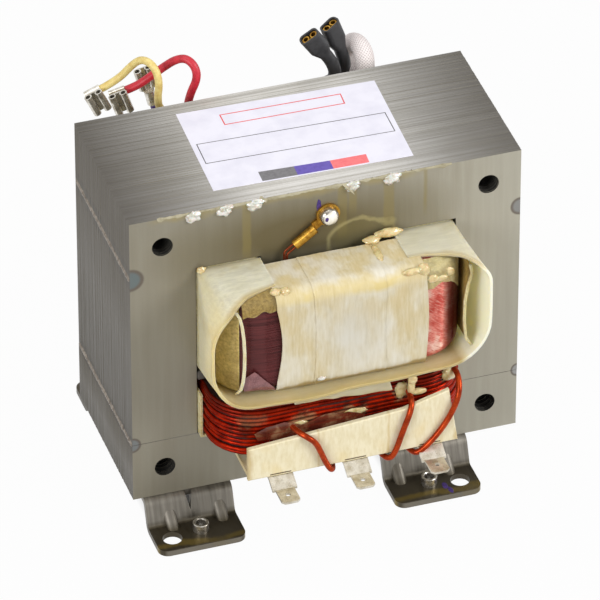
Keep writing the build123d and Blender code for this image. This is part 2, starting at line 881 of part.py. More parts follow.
def make_boot(side_name, route, width_way):
    """A black shrunk boot on a lead's end, and the receptacle in its mouth."""
    seat = Plane(route[-1], x_dir=width_way, z_dir=end_way(route))
    shoulder = seat.offset(boot_taper)
    pocket_floor = shoulder.offset(boot_length - boot_pocket)
    with BuildPart() as boot:
        with BuildSketch(seat):
            RectangleRounded(black_d, black_d, boot_neck_r)
        with BuildSketch(shoulder):
            RectangleRounded(boot_width, boot_thickness, boot_corner_r)
        loft()
        with BuildSketch(shoulder):
            RectangleRounded(boot_width, boot_thickness, boot_corner_r)
        extrude(amount=boot_length)
        with BuildSketch(pocket_floor):
            RectangleRounded(
                boot_width - 2 * boot_wall, boot_thickness - 2 * boot_wall, boot_corner_r - boot_wall
            )
        extrude(amount=boot_pocket, mode=Mode.SUBTRACT)
    finish(boot, f"boot_{side_name}")
    with BuildPart() as boot_receptacle:
        with BuildSketch(pocket_floor):
            receptacle_profile(boot_receptacle_width, 0, receptacle_t - receptacle_roll_r)
        extrude(amount=boot_pocket - boot_recess)
    finish(boot_receptacle, f"boot_receptacle_{side_name}")


make_boot("left", black_left_path, boot_left_way)
make_boot("right", black_right_path, boot_right_way)
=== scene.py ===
# %% Load the frame
from math import cos, pi, radians, sin, sqrt, tau

import bmesh
import bpy
from mathutils import Matrix, Vector, noise


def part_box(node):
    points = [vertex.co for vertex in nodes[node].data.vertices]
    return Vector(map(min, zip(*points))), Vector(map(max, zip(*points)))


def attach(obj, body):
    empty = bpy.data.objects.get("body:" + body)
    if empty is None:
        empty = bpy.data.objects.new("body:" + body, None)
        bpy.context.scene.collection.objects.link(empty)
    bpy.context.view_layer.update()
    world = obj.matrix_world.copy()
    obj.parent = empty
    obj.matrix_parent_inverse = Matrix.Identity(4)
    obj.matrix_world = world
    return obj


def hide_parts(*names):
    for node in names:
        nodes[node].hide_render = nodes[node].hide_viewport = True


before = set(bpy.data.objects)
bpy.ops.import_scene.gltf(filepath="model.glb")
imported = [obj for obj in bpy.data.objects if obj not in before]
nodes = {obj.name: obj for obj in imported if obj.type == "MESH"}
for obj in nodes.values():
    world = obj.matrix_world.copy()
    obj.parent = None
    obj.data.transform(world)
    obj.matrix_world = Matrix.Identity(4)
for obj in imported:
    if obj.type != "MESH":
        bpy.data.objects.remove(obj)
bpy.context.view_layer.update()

print("nodes loaded:", len(nodes))

# %% [markdown]
# # A microwave-oven transformer, dressed in Blender
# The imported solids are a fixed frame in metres. Each piece below either gives a solid
# a better finish or takes its place with a finer mesh. Sizes are written in
# millimetres and turned into metres once, because that is how the part is measured.

# %% Small helpers
MM = 0.001


def mm(*values):
    """Lengths in millimetres as a tuple in metres."""
    return tuple(value * MM for value in values)


def srgb(red, green, blue):
    """A colour as a screen shows it, 0 to 255, turned into linear light."""
    linear = []
    for value in (red, green, blue):
        share = value / 255
        linear.append(share / 12.92 if share <= 0.04045 else ((share + 0.055) / 1.055) ** 2.4)
    return (*linear, 1.0)


def keep(piece, slot, *replaced):
    """Let a piece ride on the part and hide the solids it stands for; its slot is not used."""
    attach(piece, "root")
    if replaced:
        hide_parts(*replaced)
    return piece


def put(mesh, name, *finishes):
    """A mesh as a new object in the scene, with its finishes."""
    piece = bpy.data.objects.new(name, mesh)
    bpy.context.scene.collection.objects.link(piece)
    for finish in finishes:
        mesh.materials.append(finish)
    return piece


def smooth(mesh):
    """Smooth shading all over a mesh."""
    mesh.polygons.foreach_set("use_smooth", [True] * len(mesh.polygons))
    return mesh


core_low, core_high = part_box("e_core")
core_middle = (core_low.x + core_high.x) / 2
lam = (core_high.x - core_low.x) / 6
front_y, back_y = core_low.y, core_high.y
core_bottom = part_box("i_core")[0].z
print("core middle", round(core_middle / MM, 3), "mm, tongue half width", round(lam / MM, 3), "mm")

# %% [markdown]
# ## Camera
# The photograph was taken from the front left and well above, with a long lens. A long
# focal length far away keeps the core's edges nearly parallel. The aim point is the
# middle of the core, and two small offsets slide the picture into place.

# %% Camera
CAMERA_AZIMUTH = radians(-18.31)
CAMERA_ELEVATION = radians(36.26)
CAMERA_DISTANCE = 2.5
CAMERA_LENS = 455.1
CAMERA_RIGHT, CAMERA_UP = mm(0.89, -7.90)
CAMERA_AIM_Z = 66 * MM
SENSOR_WIDTH = 36
CLIP_START, CLIP_END = 0.05, 20
aim = Vector((core_middle, 0, CAMERA_AIM_Z))
back_way = Vector(
    (
        sin(CAMERA_AZIMUTH) * cos(CAMERA_ELEVATION),
        -cos(CAMERA_AZIMUTH) * cos(CAMERA_ELEVATION),
        sin(CAMERA_ELEVATION),
    )
)
right_way = Vector((0, 0, 1)).cross(back_way).normalized()
up_way = back_way.cross(right_way)
camera_data = bpy.data.cameras.new("camera")
camera_data.lens = CAMERA_LENS
camera_data.sensor_width = SENSOR_WIDTH
camera_data.clip_start = CLIP_START
camera_data.clip_end = CLIP_END
camera = bpy.data.objects.new("camera", camera_data)
camera.location = aim + back_way * CAMERA_DISTANCE + right_way * CAMERA_RIGHT + up_way * CAMERA_UP
camera.rotation_euler = Matrix((right_way, up_way, back_way)).transposed().to_euler()
bpy.context.scene.collection.objects.link(camera)
bpy.context.scene.camera = camera
print("camera at", [round(value, 3) for value in camera.location])

# %% [markdown]
# ## Light, floor and background
# The main lamp stands well to the right, which makes the right of the part the brighter
# side. One on the left reaches into the collar, and a weaker one hangs above. The floor
# and the world are plain white to the camera and in reflections, so metal and varnish
# mirror a white room. As sources of light they are grey, or the part would look washed
# out. Under the rails the white fades, because the part keeps the light off the floor.

# %% Shader nodes and light
bpy.context.scene.view_settings.view_transform = "Standard"


def node(tree, kind, inputs=None, **settings):
    """A shader or geometry node with its settings and inputs; a socket given as an input is linked."""
    made = tree.nodes.new(kind)
    for key, value in settings.items():
        setattr(made, key, value)
    for key, value in (inputs or {}).items():
        if isinstance(value, bpy.types.NodeSocket):
            tree.links.new(value, made.inputs[key])
        else:
            made.inputs[key].default_value = value
    return made


def math(tree, operation, *values, clamp=False):
    """A Math node's result."""
    inputs = dict(enumerate(values))
    return node(tree, "ShaderNodeMath", inputs, operation=operation, use_clamp=clamp).outputs[0]


def times(tree, one, other):
    """The product of two values."""
    return math(tree, "MULTIPLY", one, other)


def plus(tree, one, other):
    """The sum of two values."""
    return math(tree, "ADD", one, other)


def minus(tree, one, other):
    """The first value less the second."""
    return math(tree, "SUBTRACT", one, other)


def seen_directly(tree):
    """1 for camera, glossy and transmission rays, which should see a plain white surround."""
    path = node(tree, "ShaderNodeLightPath").outputs
    bent = math(tree, "MAXIMUM", path["Is Glossy Ray"], path["Is Transmission Ray"])
    return math(tree, "MAXIMUM", path["Is Camera Ray"], bent)


WORLD_LIGHT = 0.46
world = bpy.data.worlds.new("studio")
bpy.context.scene.world = world
world.use_nodes = True
world.node_tree.nodes.clear()
tree = world.node_tree
white = node(tree, "ShaderNodeBackground", {"Color": (1, 1, 1, 1), "Strength": 1.0})
ambient = node(tree, "ShaderNodeBackground", {"Color": (1, 1, 1, 1), "Strength": WORLD_LIGHT})
mixed = node(
    tree, "ShaderNodeMixShader", {0: seen_directly(tree), 1: ambient.outputs[0], 2: white.outputs[0]}
)
node(tree, "ShaderNodeOutputWorld", {"Surface": mixed.outputs[0]})


def lamp(name, place, target, size, power):
    """A square soft lamp that points at a target."""
    data = bpy.data.lights.new(name, "AREA")
    data.size = size
    data.energy = power
    made = bpy.data.objects.new(name, data)
    made.location = place
    made.rotation_euler = (Vector(target) - Vector(place)).to_track_quat("-Z", "Y").to_euler()
    bpy.context.scene.collection.objects.link(made)


# Each lamp's name, place, target, size and power, in metres and watts
LAMPS = (
    ("key_lamp", (0.95, -0.78, 0.66), (0.02, 0, 0.06), 0.6, 12.5),
    ("top_lamp", (-0.25, 0.15, 1.3), (0, 0, 0.06), 0.9, 5),
    ("left_lamp", (-1.0, -0.72, 0.5), (0.02, 0, 0.06), 0.6, 8.5),
)
for settings in LAMPS:
    lamp(*settings)
print("lamps set:", len(LAMPS))

# %% Floor
FLOOR_GREY = (0.42, 0.42, 0.42, 1)
FLOOR_REACH, FLOOR_DROP = 4.0, 0.0002
FLOOR_WHITE_SHARE = 0.97
RAIL_SHADE_SHARE, RAIL_FADE_SHARE = 0.3, 0.6
END_SHADE_SHARE, END_FADE_SHARE = 0.95, 0.25

floor_finish = bpy.data.materials.new("white_floor")
floor_finish.use_nodes = True
tree = floor_finish.node_tree
tree.nodes.clear()
matt = node(tree, "ShaderNodeBsdfDiffuse", {"Color": FLOOR_GREY})
glow = node(tree, "ShaderNodeEmission", {"Color": (1, 1, 1, 1), "Strength": 1.0})
floor_place = node(tree, "ShaderNodeTexCoord").outputs["Object"]
across, along, _ = node(tree, "ShaderNodeSeparateXYZ", {0: floor_place}).outputs
rail_low, rail_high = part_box("base_rail_right")
rail_x, rail_half = (rail_low.x + rail_high.x) / 2, (rail_high.x - rail_low.x) / 2
off_rail = math(tree, "ABSOLUTE", minus(tree, math(tree, "ABSOLUTE", across), rail_x))
off_rail = minus(tree, off_rail, rail_half * RAIL_SHADE_SHARE)
beside = math(tree, "DIVIDE", off_rail, rail_half * RAIL_FADE_SHARE)
off_end = minus(tree, math(tree, "ABSOLUTE", along), back_y * END_SHADE_SHARE)
beyond = math(tree, "DIVIDE", off_end, back_y * END_FADE_SHARE)
open_floor = math(tree, "MAXIMUM", beside, math(tree, "MAXIMUM", beyond, 0.0), clamp=True)
paleness = times(tree, times(tree, seen_directly(tree), open_floor), FLOOR_WHITE_SHARE)
mixed = node(tree, "ShaderNodeMixShader", {0: paleness, 1: matt.outputs[0], 2: glow.outputs[0]})
node(tree, "ShaderNodeOutputMaterial", {"Surface": mixed.outputs[0]})
floor_mesh = bpy.data.meshes.new("floor")
floor_mesh.from_pydata(
    [(x * FLOOR_REACH, y * FLOOR_REACH, -FLOOR_DROP) for x, y in ((-1, -1), (1, -1), (1, 1), (-1, 1))],
    [],
    [(0, 1, 2, 3)],
)
put(floor_mesh, "floor", floor_finish)
print("studio ready")

# %% [markdown]
# ## Tools for finishes
# A surface in the real part is never one flat colour. Each finish below starts from one
# Principled shader and adds noise in object coordinates, scaled to millimetres, for its
# colour, its roughness and a small bump. Object coordinates stay put when a piece is cut
# or joined, so no unwrapping is needed.

# %% Shaders, noise and masks


def finish_base(name, roughness, metallic=0.0, **sockets):
    """A new material: returns it with its node tree and its shader."""
    made = bpy.data.materials.new(name)
    made.use_nodes = True
    tree = made.node_tree
    tree.nodes.clear()
    shader = node(tree, "ShaderNodeBsdfPrincipled", {"Roughness": roughness, "Metallic": metallic})
    for key, value in sockets.items():
        shader.inputs[key.replace("_", " ")].default_value = value
    node(tree, "ShaderNodeOutputMaterial", {"Surface": shader.outputs[0]})
    return made, tree, shader


def place(tree, stretch=(1, 1, 1)):
    """Object coordinates in millimetres, stretched to draw a pattern out along an axis."""
    at = node(tree, "ShaderNodeTexCoord").outputs["Object"]
    scale = tuple(1000 * share for share in stretch)
    return node(tree, "ShaderNodeMapping", {"Vector": at, "Scale": scale}).outputs[0]


def axes(tree):
    """The x, y and z of object coordinates in millimetres."""
    return node(tree, "ShaderNodeSeparateXYZ", {0: place(tree)}).outputs


def grain(tree, at, scale, detail=4.0, rough=0.55):
    """Noise of so many waves per millimetre."""
    return node(
        tree, "ShaderNodeTexNoise", {"Vector": at, "Scale": scale, "Detail": detail, "Roughness": rough}
    ).outputs["Fac"]


def ramp(tree, value, *stops):
    """A colour ramp over a value; stops are (position, colour)."""
    made = node(tree, "ShaderNodeValToRGB", {"Fac": value})
    points = made.color_ramp.elements
    points[0].position, points[0].color = stops[0]
    points[1].position, points[1].color = stops[-1]
    for position, colour in stops[1:-1]:
        points.new(position).color = colour
    return made.outputs[0]


def mix(tree, share, under, over):
    """Two colours mixed by a share."""
    return node(tree, "ShaderNodeMix", {0: share, 6: under, 7: over}, data_type="RGBA").outputs[2]


def span(tree, value, low, high, to_low, to_high):
    """A value mapped from one range to another, and kept inside it."""
    return node(
        tree, "ShaderNodeMapRange", {0: value, 1: low, 2: high, 3: to_low, 4: to_high}
    ).outputs[0]


NOISE_LOW, NOISE_HIGH = 0.3, 0.7


def gloss(tree, value, low, high):
    """Noise, which keeps to the middle of its range, as a roughness from low to high."""
    return span(tree, value, NOISE_LOW, NOISE_HIGH, low, high)


def sway(tree, value, reach):
    """Noise as a push to either side, with its whole reach from end to end."""
    return times(tree, minus(tree, value, 0.5), reach)


def bump(tree, height, strength, distance):
    """A bump in millimetres."""
    return node(
        tree, "ShaderNodeBump", {"Height": height, "Strength": strength, "Distance": distance * MM}
    ).outputs[0]


def near_line(tree, value, centre, half, soft):
    """1 within half a width of a centre, falling to 0 over a soft edge."""
    off = math(tree, "ABSOLUTE", minus(tree, value, centre))
    return span(tree, off, half, half + soft, 1.0, 0.0)


def near_spot(tree, across, up, centre, radii, soft):
    """1 inside an ellipse, falling to 0 over a soft share of its radius."""
    side = math(tree, "DIVIDE", minus(tree, across, centre[0]), radii[0])
    high = math(tree, "DIVIDE", minus(tree, up, centre[1]), radii[1])
    square = plus(tree, times(tree, side, side), times(tree, high, high))
    reach = math(tree, "SQRT", square)
    return span(tree, reach, 1.0 - soft, 1.0, 1.0, 0.0)


def paint(tree, shader, colour=None, roughness=None, normal=None):
    """Links a colour, a roughness and a bump to a shader."""
    for socket, value in (("Base Color", colour), ("Roughness", roughness), ("Normal", normal)):
        if value is not None:
            tree.links.new(value, shader.inputs[socket])


print("shader tools ready")

# %% Finishes that several pieces share
FINE_WAVES = 8


def plain(name, colour, dark, roughness, metallic=0.0, size=0.5, depth=0.05, **sockets):
    """A surface with faint marks: cloudy colour, uneven gloss and a fine bump."""
    made, tree, shader = finish_base(name, roughness, metallic, **sockets)
    at = place(tree)
    marks = grain(tree, at, size)
    fine = grain(tree, at, size * FINE_WAVES)
    colour = ramp(tree, marks, (0.3, dark), (0.6, colour))
    paint(
        tree,
        shader,
        colour,
        gloss(tree, fine, roughness - 0.1, roughness + 0.12),
        bump(tree, fine, 0.3, depth),
    )
    return made


def collar_tints(tree, colour, cloud, stain, share):
    """What a collar has besides: a worn rim and root, a floor darkened by stain and painted shade, a
    yellower left side, a greyer right flap and the right wall's inside painted near white as painted light.
    """
    along = node(tree, "ShaderNodeAttribute", attribute_name="rim").outputs["Fac"]
    along = plus(tree, along, sway(tree, cloud, 0.12))
    colour = mix(tree, span(tree, along, 0.88, 0.98, 0.0, share), colour, srgb(172, 146, 90))
    colour = mix(tree, span(tree, along, 0.14, 0.02, 0.0, share), colour, srgb(162, 142, 92))
    x, _, z = axes(tree)
    height = plus(tree, z, sway(tree, cloud, 6.0))
    # Darker tan towards the collar's floor: a stain, and painted shade in the mouth.
    colour = mix(tree, span(tree, height, 63.5, 60.5, 0.0, share), colour, stain)
    colour = mix(tree, span(tree, x, -33, -36, 0.0, 0.5), colour, srgb(214, 198, 150))
    right_flap = times(tree, span(tree, x, 26, 30, 0.0, 0.45), span(tree, z, 95, 97, 0.0, 1.0))
    colour = mix(tree, right_flap, colour, srgb(196, 189, 164))
    # Painted light: the inside of the right wall is painted near white, as brightly lit through the paper.
    painted_light_wall = times(tree, span(tree, x, 45.5, 48.5, 0.0, 0.95), span(tree, z, 97.5, 95.5, 0.0, 1.0))
    return mix(tree, painted_light_wall, colour, srgb(255, 243, 212))


def paper(
    name,
    pale,
    deep,
    stain,
    stretch=(1, 1, 1),
    size=1.4,
    stain_from=0.56,
    stain_share=0.6,
    soak=1.6,
    rim_share=0.0,
):
    """Fish paper soaked in varnish: fibres drawn out one way and cloudy stains. Light soaks through it."""
    made, tree, shader = finish_base(
        name,
        0.6,
        Specular_IOR_Level=0.35,
        Subsurface_Weight=0.85,
        Subsurface_Scale=soak * MM,
        Subsurface_Radius=(1.0, 0.85, 0.5),
    )
    fibre = grain(tree, place(tree, stretch), size, 6.0, 0.65)
    at = place(tree)
    cloud = grain(tree, at, 0.11, 3.0)
    speck = grain(tree, at, 2.6, 2.0)
    colour = ramp(tree, fibre, (0.28, deep), (0.62, pale))
    colour = mix(tree, span(tree, cloud, stain_from, stain_from + 0.16, 0.0, stain_share), colour, stain)
    colour = mix(tree, span(tree, speck, 0.66, 0.74, 0.0, 0.25), colour, stain)
    if rim_share:
        colour = collar_tints(tree, colour, cloud, stain, rim_share)
    paint(tree, shader, colour, gloss(tree, cloud, 0.7, 0.4), bump(tree, fibre, 0.5, 0.14))
    return made


def enamel(name, bright, dark, varnish, varnish_from=0.6, roughness=0.3, size=0.25, pools=(), painted_shade_heights=(90, 99)):
    """Enamelled copper wire under varnish that has run in places, and darkened above a height as painted
    shade.
    """
    made, tree, shader = finish_base(
        name, roughness, 0.5, Specular_IOR_Level=0.05, Coat_Weight=0.02, Coat_Roughness=0.2
    )
    at = place(tree)
    tone = grain(tree, at, size)
    pool = grain(tree, at, 0.09, 3.0)
    fine = grain(tree, at, 3.0)
    colour = ramp(tree, tone, (0.3, dark), (0.62, bright))
    colour = mix(tree, span(tree, pool, varnish_from, varnish_from + 0.08, 0.0, 0.75), colour, varnish)
    x, y, z = axes(tree)
    shift = sway(tree, grain(tree, at, 0.3, 3.0), 6.0)
    wavy_x, wavy_z = plus(tree, x, shift), plus(tree, z, shift)
    front = span(tree, y, -44, -40, 1.0, 0.0)
    for centre, radii, share in pools:
        spot = times(tree, near_spot(tree, wavy_x, wavy_z, centre, radii, 0.35), front)
        colour = mix(tree, times(tree, spot, share), colour, srgb(150, 114, 80))
    # Painted shade: above these heights the wire is darkened towards the varnish colour, as in the collar's
    # shadow.
    colour = mix(tree, span(tree, z, *painted_shade_heights, 0.0, 0.7), colour, varnish)
    uneven = gloss(tree, fine, roughness - 0.08, roughness + 0.15)
    paint(tree, shader, colour, uneven, bump(tree, fine, 0.2, 0.04))
    return made


def dress(finish, *names):
    """Gives solids that stay as they are a better finish."""
    for name in names:
        for slot in nodes[name].material_slots:
            slot.material = finish


print("finish tools ready")

# %% [markdown]
# ## Tools for Geometry Nodes
# Steel sheets, wire turns and weld ripples repeat many times. A small node tree grows
# each of them from a few named inputs, and the result is kept as a plain mesh. The tree
# is built once and then used with other numbers.

# %% Tools for Geometry Nodes


def growth(name, **sockets):
    """A new node tree with named inputs: returns it, its input node's sockets and their identifiers."""
    tree = bpy.data.node_groups.new(name, "GeometryNodeTree")
    tree.interface.new_socket("Geometry", in_out="INPUT", socket_type="NodeSocketGeometry")
    labels = {}
    for label, kind in {**sockets, "Finish": "Material"}.items():
        socket = tree.interface.new_socket(label, in_out="INPUT", socket_type="NodeSocket" + kind)
        labels[label] = socket.identifier
    tree.interface.new_socket("Geometry", in_out="OUTPUT", socket_type="NodeSocketGeometry")
    return tree, node(tree, "NodeGroupInput").outputs, labels


def end_growth(tree, given, geometry):
    """The end of a tree: instances made real, the finish set, the geometry given out."""
    real = node(tree, "GeometryNodeRealizeInstances", {"Geometry": geometry}).outputs[0]
    painted = node(tree, "GeometryNodeSetMaterial", {"Geometry": real, "Material": given["Finish"]})
    node(tree, "NodeGroupOutput", {"Geometry": painted.outputs[0]})


def grown(name, made, start=None, **values):
    """A plain mesh object grown by a tree."""
    tree, _, labels = made
    piece = put(start or bpy.data.meshes.new(name), name)
    maker = piece.modifiers.new("growth", "NODES")
    maker.node_group = tree
    for label, value in values.items():
        maker[labels[label]] = value
    graph = bpy.context.evaluated_depsgraph_get()
    mesh = bpy.data.meshes.new_from_object(
        piece.evaluated_get(graph), preserve_all_data_layers=True, depsgraph=graph
    )
    piece.modifiers.remove(maker)
    piece.data = mesh
    mesh.name = name
    mesh.materials.clear()
    mesh.materials.append(values["Finish"])
    mesh.polygons.foreach_set("material_index", [0] * len(mesh.polygons))
    print(name, "has", len(mesh.polygons), "faces")
    return piece


def vector(tree, x=0.0, y=0.0, z=0.0):
    """A vector from three values."""
    return node(tree, "ShaderNodeCombineXYZ", {0: x, 1: y, 2: z}).outputs[0]


def random_vector(tree, reach, seed):
    """A random vector for each point, up to a reach either way."""
    less = node(tree, "ShaderNodeVectorMath", {0: reach, 1: (-1, -1, -1)}, operation="MULTIPLY").outputs[0]
    inputs = {0: less, 1: reach, 8: seed}
    return node(tree, "FunctionNodeRandomValue", inputs, data_type="FLOAT_VECTOR").outputs[0]


print("growth tools ready")

# %% [markdown]
# ## Core sheets
# The core is a pack of punched silicon-steel sheets, E shapes above and I strips below.
# One thin sheet is drawn as a filled 2-D curve with its bolt holes, and a tree stacks a
# hundred of them with a slip of a few hundredths of a millimetre. The real edges then
# catch the light as fine lines, which a bump map alone would not do at the corners.

# %% Core finishes
# Each run of varnish: its middle, half its width and its lower end, in millimetres
VARNISH_RUNS = ((-19.9, 1.1, 98), (12.7, 1.2, 100), (16.2, 1.0, 108), (28.6, 1.4, 98), (41.1, 0.25, 103))


def rolled_sheet():
    """The broad face of a sheet: satin steel with streaks, weld tint and runs of varnish, darker to the
    left as painted shade and lighter to the right as a painted sheen.
    """
    made, tree, shader = finish_base("rolled_sheet", 0.42, 0.35, Specular_IOR_Level=0.45)
    x, y, z = axes(tree)
    streak = grain(tree, place(tree, (0.35, 1, 0.02)), 1.0, 5.0)
    cloud = grain(tree, place(tree), 0.03, 3.0)
    fine = grain(tree, place(tree, (2.5, 1, 0.6)), 1.6)
    colour = ramp(
        tree, streak, (0.3, srgb(147, 141, 124)), (0.5, srgb(156, 150, 134)), (0.7, srgb(163, 159, 143))
    )
    colour = mix(tree, span(tree, cloud, 0.4, 0.65, 0.0, 0.4), colour, srgb(161, 157, 143))
    # Painted shade on the left of the face and a painted sheen on the right, as the light falls more from
    # the right.
    colour = mix(tree, span(tree, x, -45, 60, 0.55, 0.0), colour, srgb(122, 116, 100))
    colour = mix(tree, span(tree, x, 40, 75, 0.0, 0.45), colour, srgb(182, 179, 165))
    front = span(tree, y, -2, 2, 1.0, 0.0)
    # Darker olive over the upper middle of the front face.
    dark_upper_middle = near_spot(tree, x, z, (0, 106), (56, 20), 0.7)
    colour = mix(tree, times(tree, times(tree, dark_upper_middle, front), 0.9), colour, srgb(98, 88, 58))
    run = srgb(138, 124, 74)
    wave = grain(tree, place(tree), 0.12, 3.0)
    shift = sway(tree, wave, 5.0)
    wavy_x, wavy_z = plus(tree, x, shift), plus(tree, z, shift)
    for centre, half, low in VARNISH_RUNS:
        strip = near_line(tree, plus(tree, x, times(tree, shift, 0.2)), centre, half, 0.7)
        below = span(tree, z, low, low + 6, 0.0, 0.5)
        colour = mix(tree, times(tree, strip, below), colour, run)
    pool = times(tree, front, near_spot(tree, wavy_x, wavy_z, (20, 100), (13, 9), 0.35))
    colour = mix(tree, times(tree, pool, 0.55), colour, srgb(112, 104, 66))
    ring = times(tree, front, near_spot(tree, wavy_x, wavy_z, (19, 100), (12.5, 8.5), 0.1))
    inner = near_spot(tree, wavy_x, wavy_z, (19, 100), (11, 7.2), 0.1)
    ring = times(tree, ring, minus(tree, 1.0, inner))
    colour = mix(tree, times(tree, ring, 0.5), colour, srgb(178, 168, 120))
    edge = span(tree, wavy_z, 119.4, 121.6, 0.0, 0.6)
    inside = times(tree, front, near_line(tree, x, -6, 40, 8))
    colour = mix(tree, times(tree, edge, inside), colour, srgb(156, 142, 92))
    for side, weld_z, radii, heart_tone in WELD_TINTS:
        spot = ((core_middle + side * 3 * lam) / MM, weld_z / MM)
        tint = near_spot(tree, x, z, spot, radii, 0.14)
        heart = near_spot(tree, x, z, spot, [0.78 * radius for radius in radii], 0.25)
        colour = mix(tree, times(tree, tint, 0.85), colour, srgb(92, 82, 74))
        colour = mix(tree, times(tree, heart, 0.85), colour, heart_tone)
    paint(tree, shader, colour, gloss(tree, fine, 0.34, 0.52), bump(tree, fine, 0.25, 0.02))
    return made


def sheet_edge():
    """The punched edges of the sheets: each sheet has its own tone, with long scratches; the side faces are
    darkened as painted shade.
    """
    made, tree, shader = finish_base("sheet_edge", 0.5, 0.3, Specular_IOR_Level=0.15)
    tone = node(tree, "ShaderNodeAttribute", attribute_name="tone").outputs["Fac"]
    long = grain(tree, place(tree, (0.02, 1.7, 0.02)), 1.0, 4.0, 0.5)
    cloud = grain(tree, place(tree), 0.035, 3.0)
    value = plus(tree, times(tree, tone, 0.3), times(tree, long, 0.7))
    colour = ramp(
        tree,
        value,
        (0.25, srgb(180, 176, 170)),
        (0.42, srgb(199, 196, 190)),
        (0.6, srgb(211, 208, 203)),
        (0.78, srgb(223, 221, 216)),
    )
    colour = mix(tree, span(tree, cloud, 0.42, 0.66, 0.0, 0.3), colour, srgb(170, 166, 154))
    # Painted shade: faces that look to the left or right are darkened, as the light falls mostly from
    # above.
    normal = node(tree, "ShaderNodeTexCoord").outputs["Normal"]
    facing = node(tree, "ShaderNodeSeparateXYZ", {0: normal}).outputs[0]
    upright = span(tree, math(tree, "ABSOLUTE", facing), 0.3, 0.7, 0.0, 0.82)
    colour = mix(tree, upright, colour, srgb(64, 58, 49))
    paint(tree, shader, colour, gloss(tree, long, 0.42, 0.6), bump(tree, value, 0.35, 0.05))
    return made


weld_low, weld_high = core_low.z, core_high.z - lam
# Each weld's heat tint: its side, height, radii in millimetres and the colour of its heart
WELD_TINTS = (
    (-1, weld_high, (5.1, 4.7), srgb(100, 112, 113)),
    (-1, weld_low, (3.2, 3.2), srgb(120, 124, 124)),
    (1, weld_high, (3.6, 3.7), srgb(136, 136, 134)),
    (1, weld_low, (2.4, 2.8), srgb(158, 158, 156)),
)
face_finish, edge_finish = rolled_sheet(), sheet_edge()
# The bolt holes' walls are near black, as painted shade inside the holes.
hole_shade_finish = plain("hole_shade", srgb(34, 32, 28), srgb(16, 15, 13), 0.7, 0.0, 0.6)
print("core finishes ready")

# %% Sheet tree
SHEETS = 100
SHEET_SLIP = 0.05 * MM
SHEET_FILL_SHARE = 0.94
HOLE_SLACK_SHARE = 1.02
JOINT_GAP = 0.1 * MM
BOLT_HOLE_R = 3.55 * MM
BOLT_X, BOLT_Z = lam * 2.5, lam / 2

stack = growth("sheet_stack", Count="Int", Pitch="Float", Start="Float", Slip="Float", Seed="Int")
tree, given, _ = stack
begin, offset = vector(tree, y=given["Start"]), vector(tree, y=given["Pitch"])
row = {"Count": given["Count"], "Start Location": begin, "Offset": offset}
line = node(tree, "GeometryNodeMeshLine", row).outputs[0]
placed = node(tree, "GeometryNodeInstanceOnPoints", {"Points": line, "Instance": given["Geometry"]})
slip = random_vector(tree, vector(tree, x=given["Slip"], z=given["Slip"]), given["Seed"])
moved = node(tree, "GeometryNodeTranslateInstances", {"Instances": placed.outputs[0], "Translation": slip})
tone = node(tree, "FunctionNodeRandomValue", {2: 0.0, 3: 1.0, 8: given["Seed"]}).outputs[1]
marked = {"Geometry": moved.outputs[0], "Name": "tone", "Value": tone}
toned = node(tree, "GeometryNodeStoreNamedAttribute", marked, domain="INSTANCE")
end_growth(tree, given, toned.outputs[0])
print("sheet tree ready")

# %% Stack the sheets


def curve_mesh(curve):
    """A curve turned into a mesh."""
    bare = bpy.data.objects.new(curve.name, curve)
    mesh = bpy.data.meshes.new_from_object(bare)
    bpy.data.objects.remove(bare)
    return mesh


def flat_mesh(name, loops, thickness):
    """A flat sheet in the XZ plane from an outline and its holes."""
    curve = bpy.data.curves.new(name, "CURVE")
    curve.dimensions = "2D"
    curve.fill_mode = "BOTH"
    curve.extrude = thickness / 2
    for loop in loops:
        spline = curve.splines.new("POLY")
        spline.points.add(len(loop) - 1)
        for point, (across, up) in zip(spline.points, loop):
            point.co = (across, up, 0, 1)
        spline.use_cyclic_u = True
    mesh = curve_mesh(curve)
    mesh.transform(Matrix.Rotation(pi / 2, 4, "X"))
    return mesh


def ring_points(across, up, radius, count=20):
    """Points round a circle."""
    angles = [tau * step / count for step in range(count)]
    return [(across + radius * cos(angle), up + radius * sin(angle)) for angle in angles]


def sheet_pack(name, outline, hole_height, solid, seed):
    """A pack of sheets with bolt holes, in the place of a solid."""
    holes = [ring_points(core_middle + side * BOLT_X, hole_height, BOLT_HOLE_R) for side in (-1, 1)]
    pitch = (back_y - front_y) / SHEETS
    sheet = flat_mesh(name, [outline, *holes], pitch * SHEET_FILL_SHARE)
    pack = grown(
        name,
        stack,
        sheet,
        Count=SHEETS,
        Pitch=pitch,
        Start=front_y + pitch / 2,
        Slip=SHEET_SLIP,
        Seed=seed,
        Finish=face_finish,
    )
    pack.data.materials.append(edge_finish)
    pack.data.materials.append(hole_shade_finish)
    for face in pack.data.polygons:
        spot = abs(face.center.x - core_middle) - BOLT_X, face.center.z - hole_height
        in_hole = spot[0] ** 2 + spot[1] ** 2 < (BOLT_HOLE_R * HOLE_SLACK_SHARE) ** 2
        face.material_index = 0 if abs(face.normal.y) > 0.5 else 2 if in_hole else 1
    return keep(pack, "core_steel", solid)


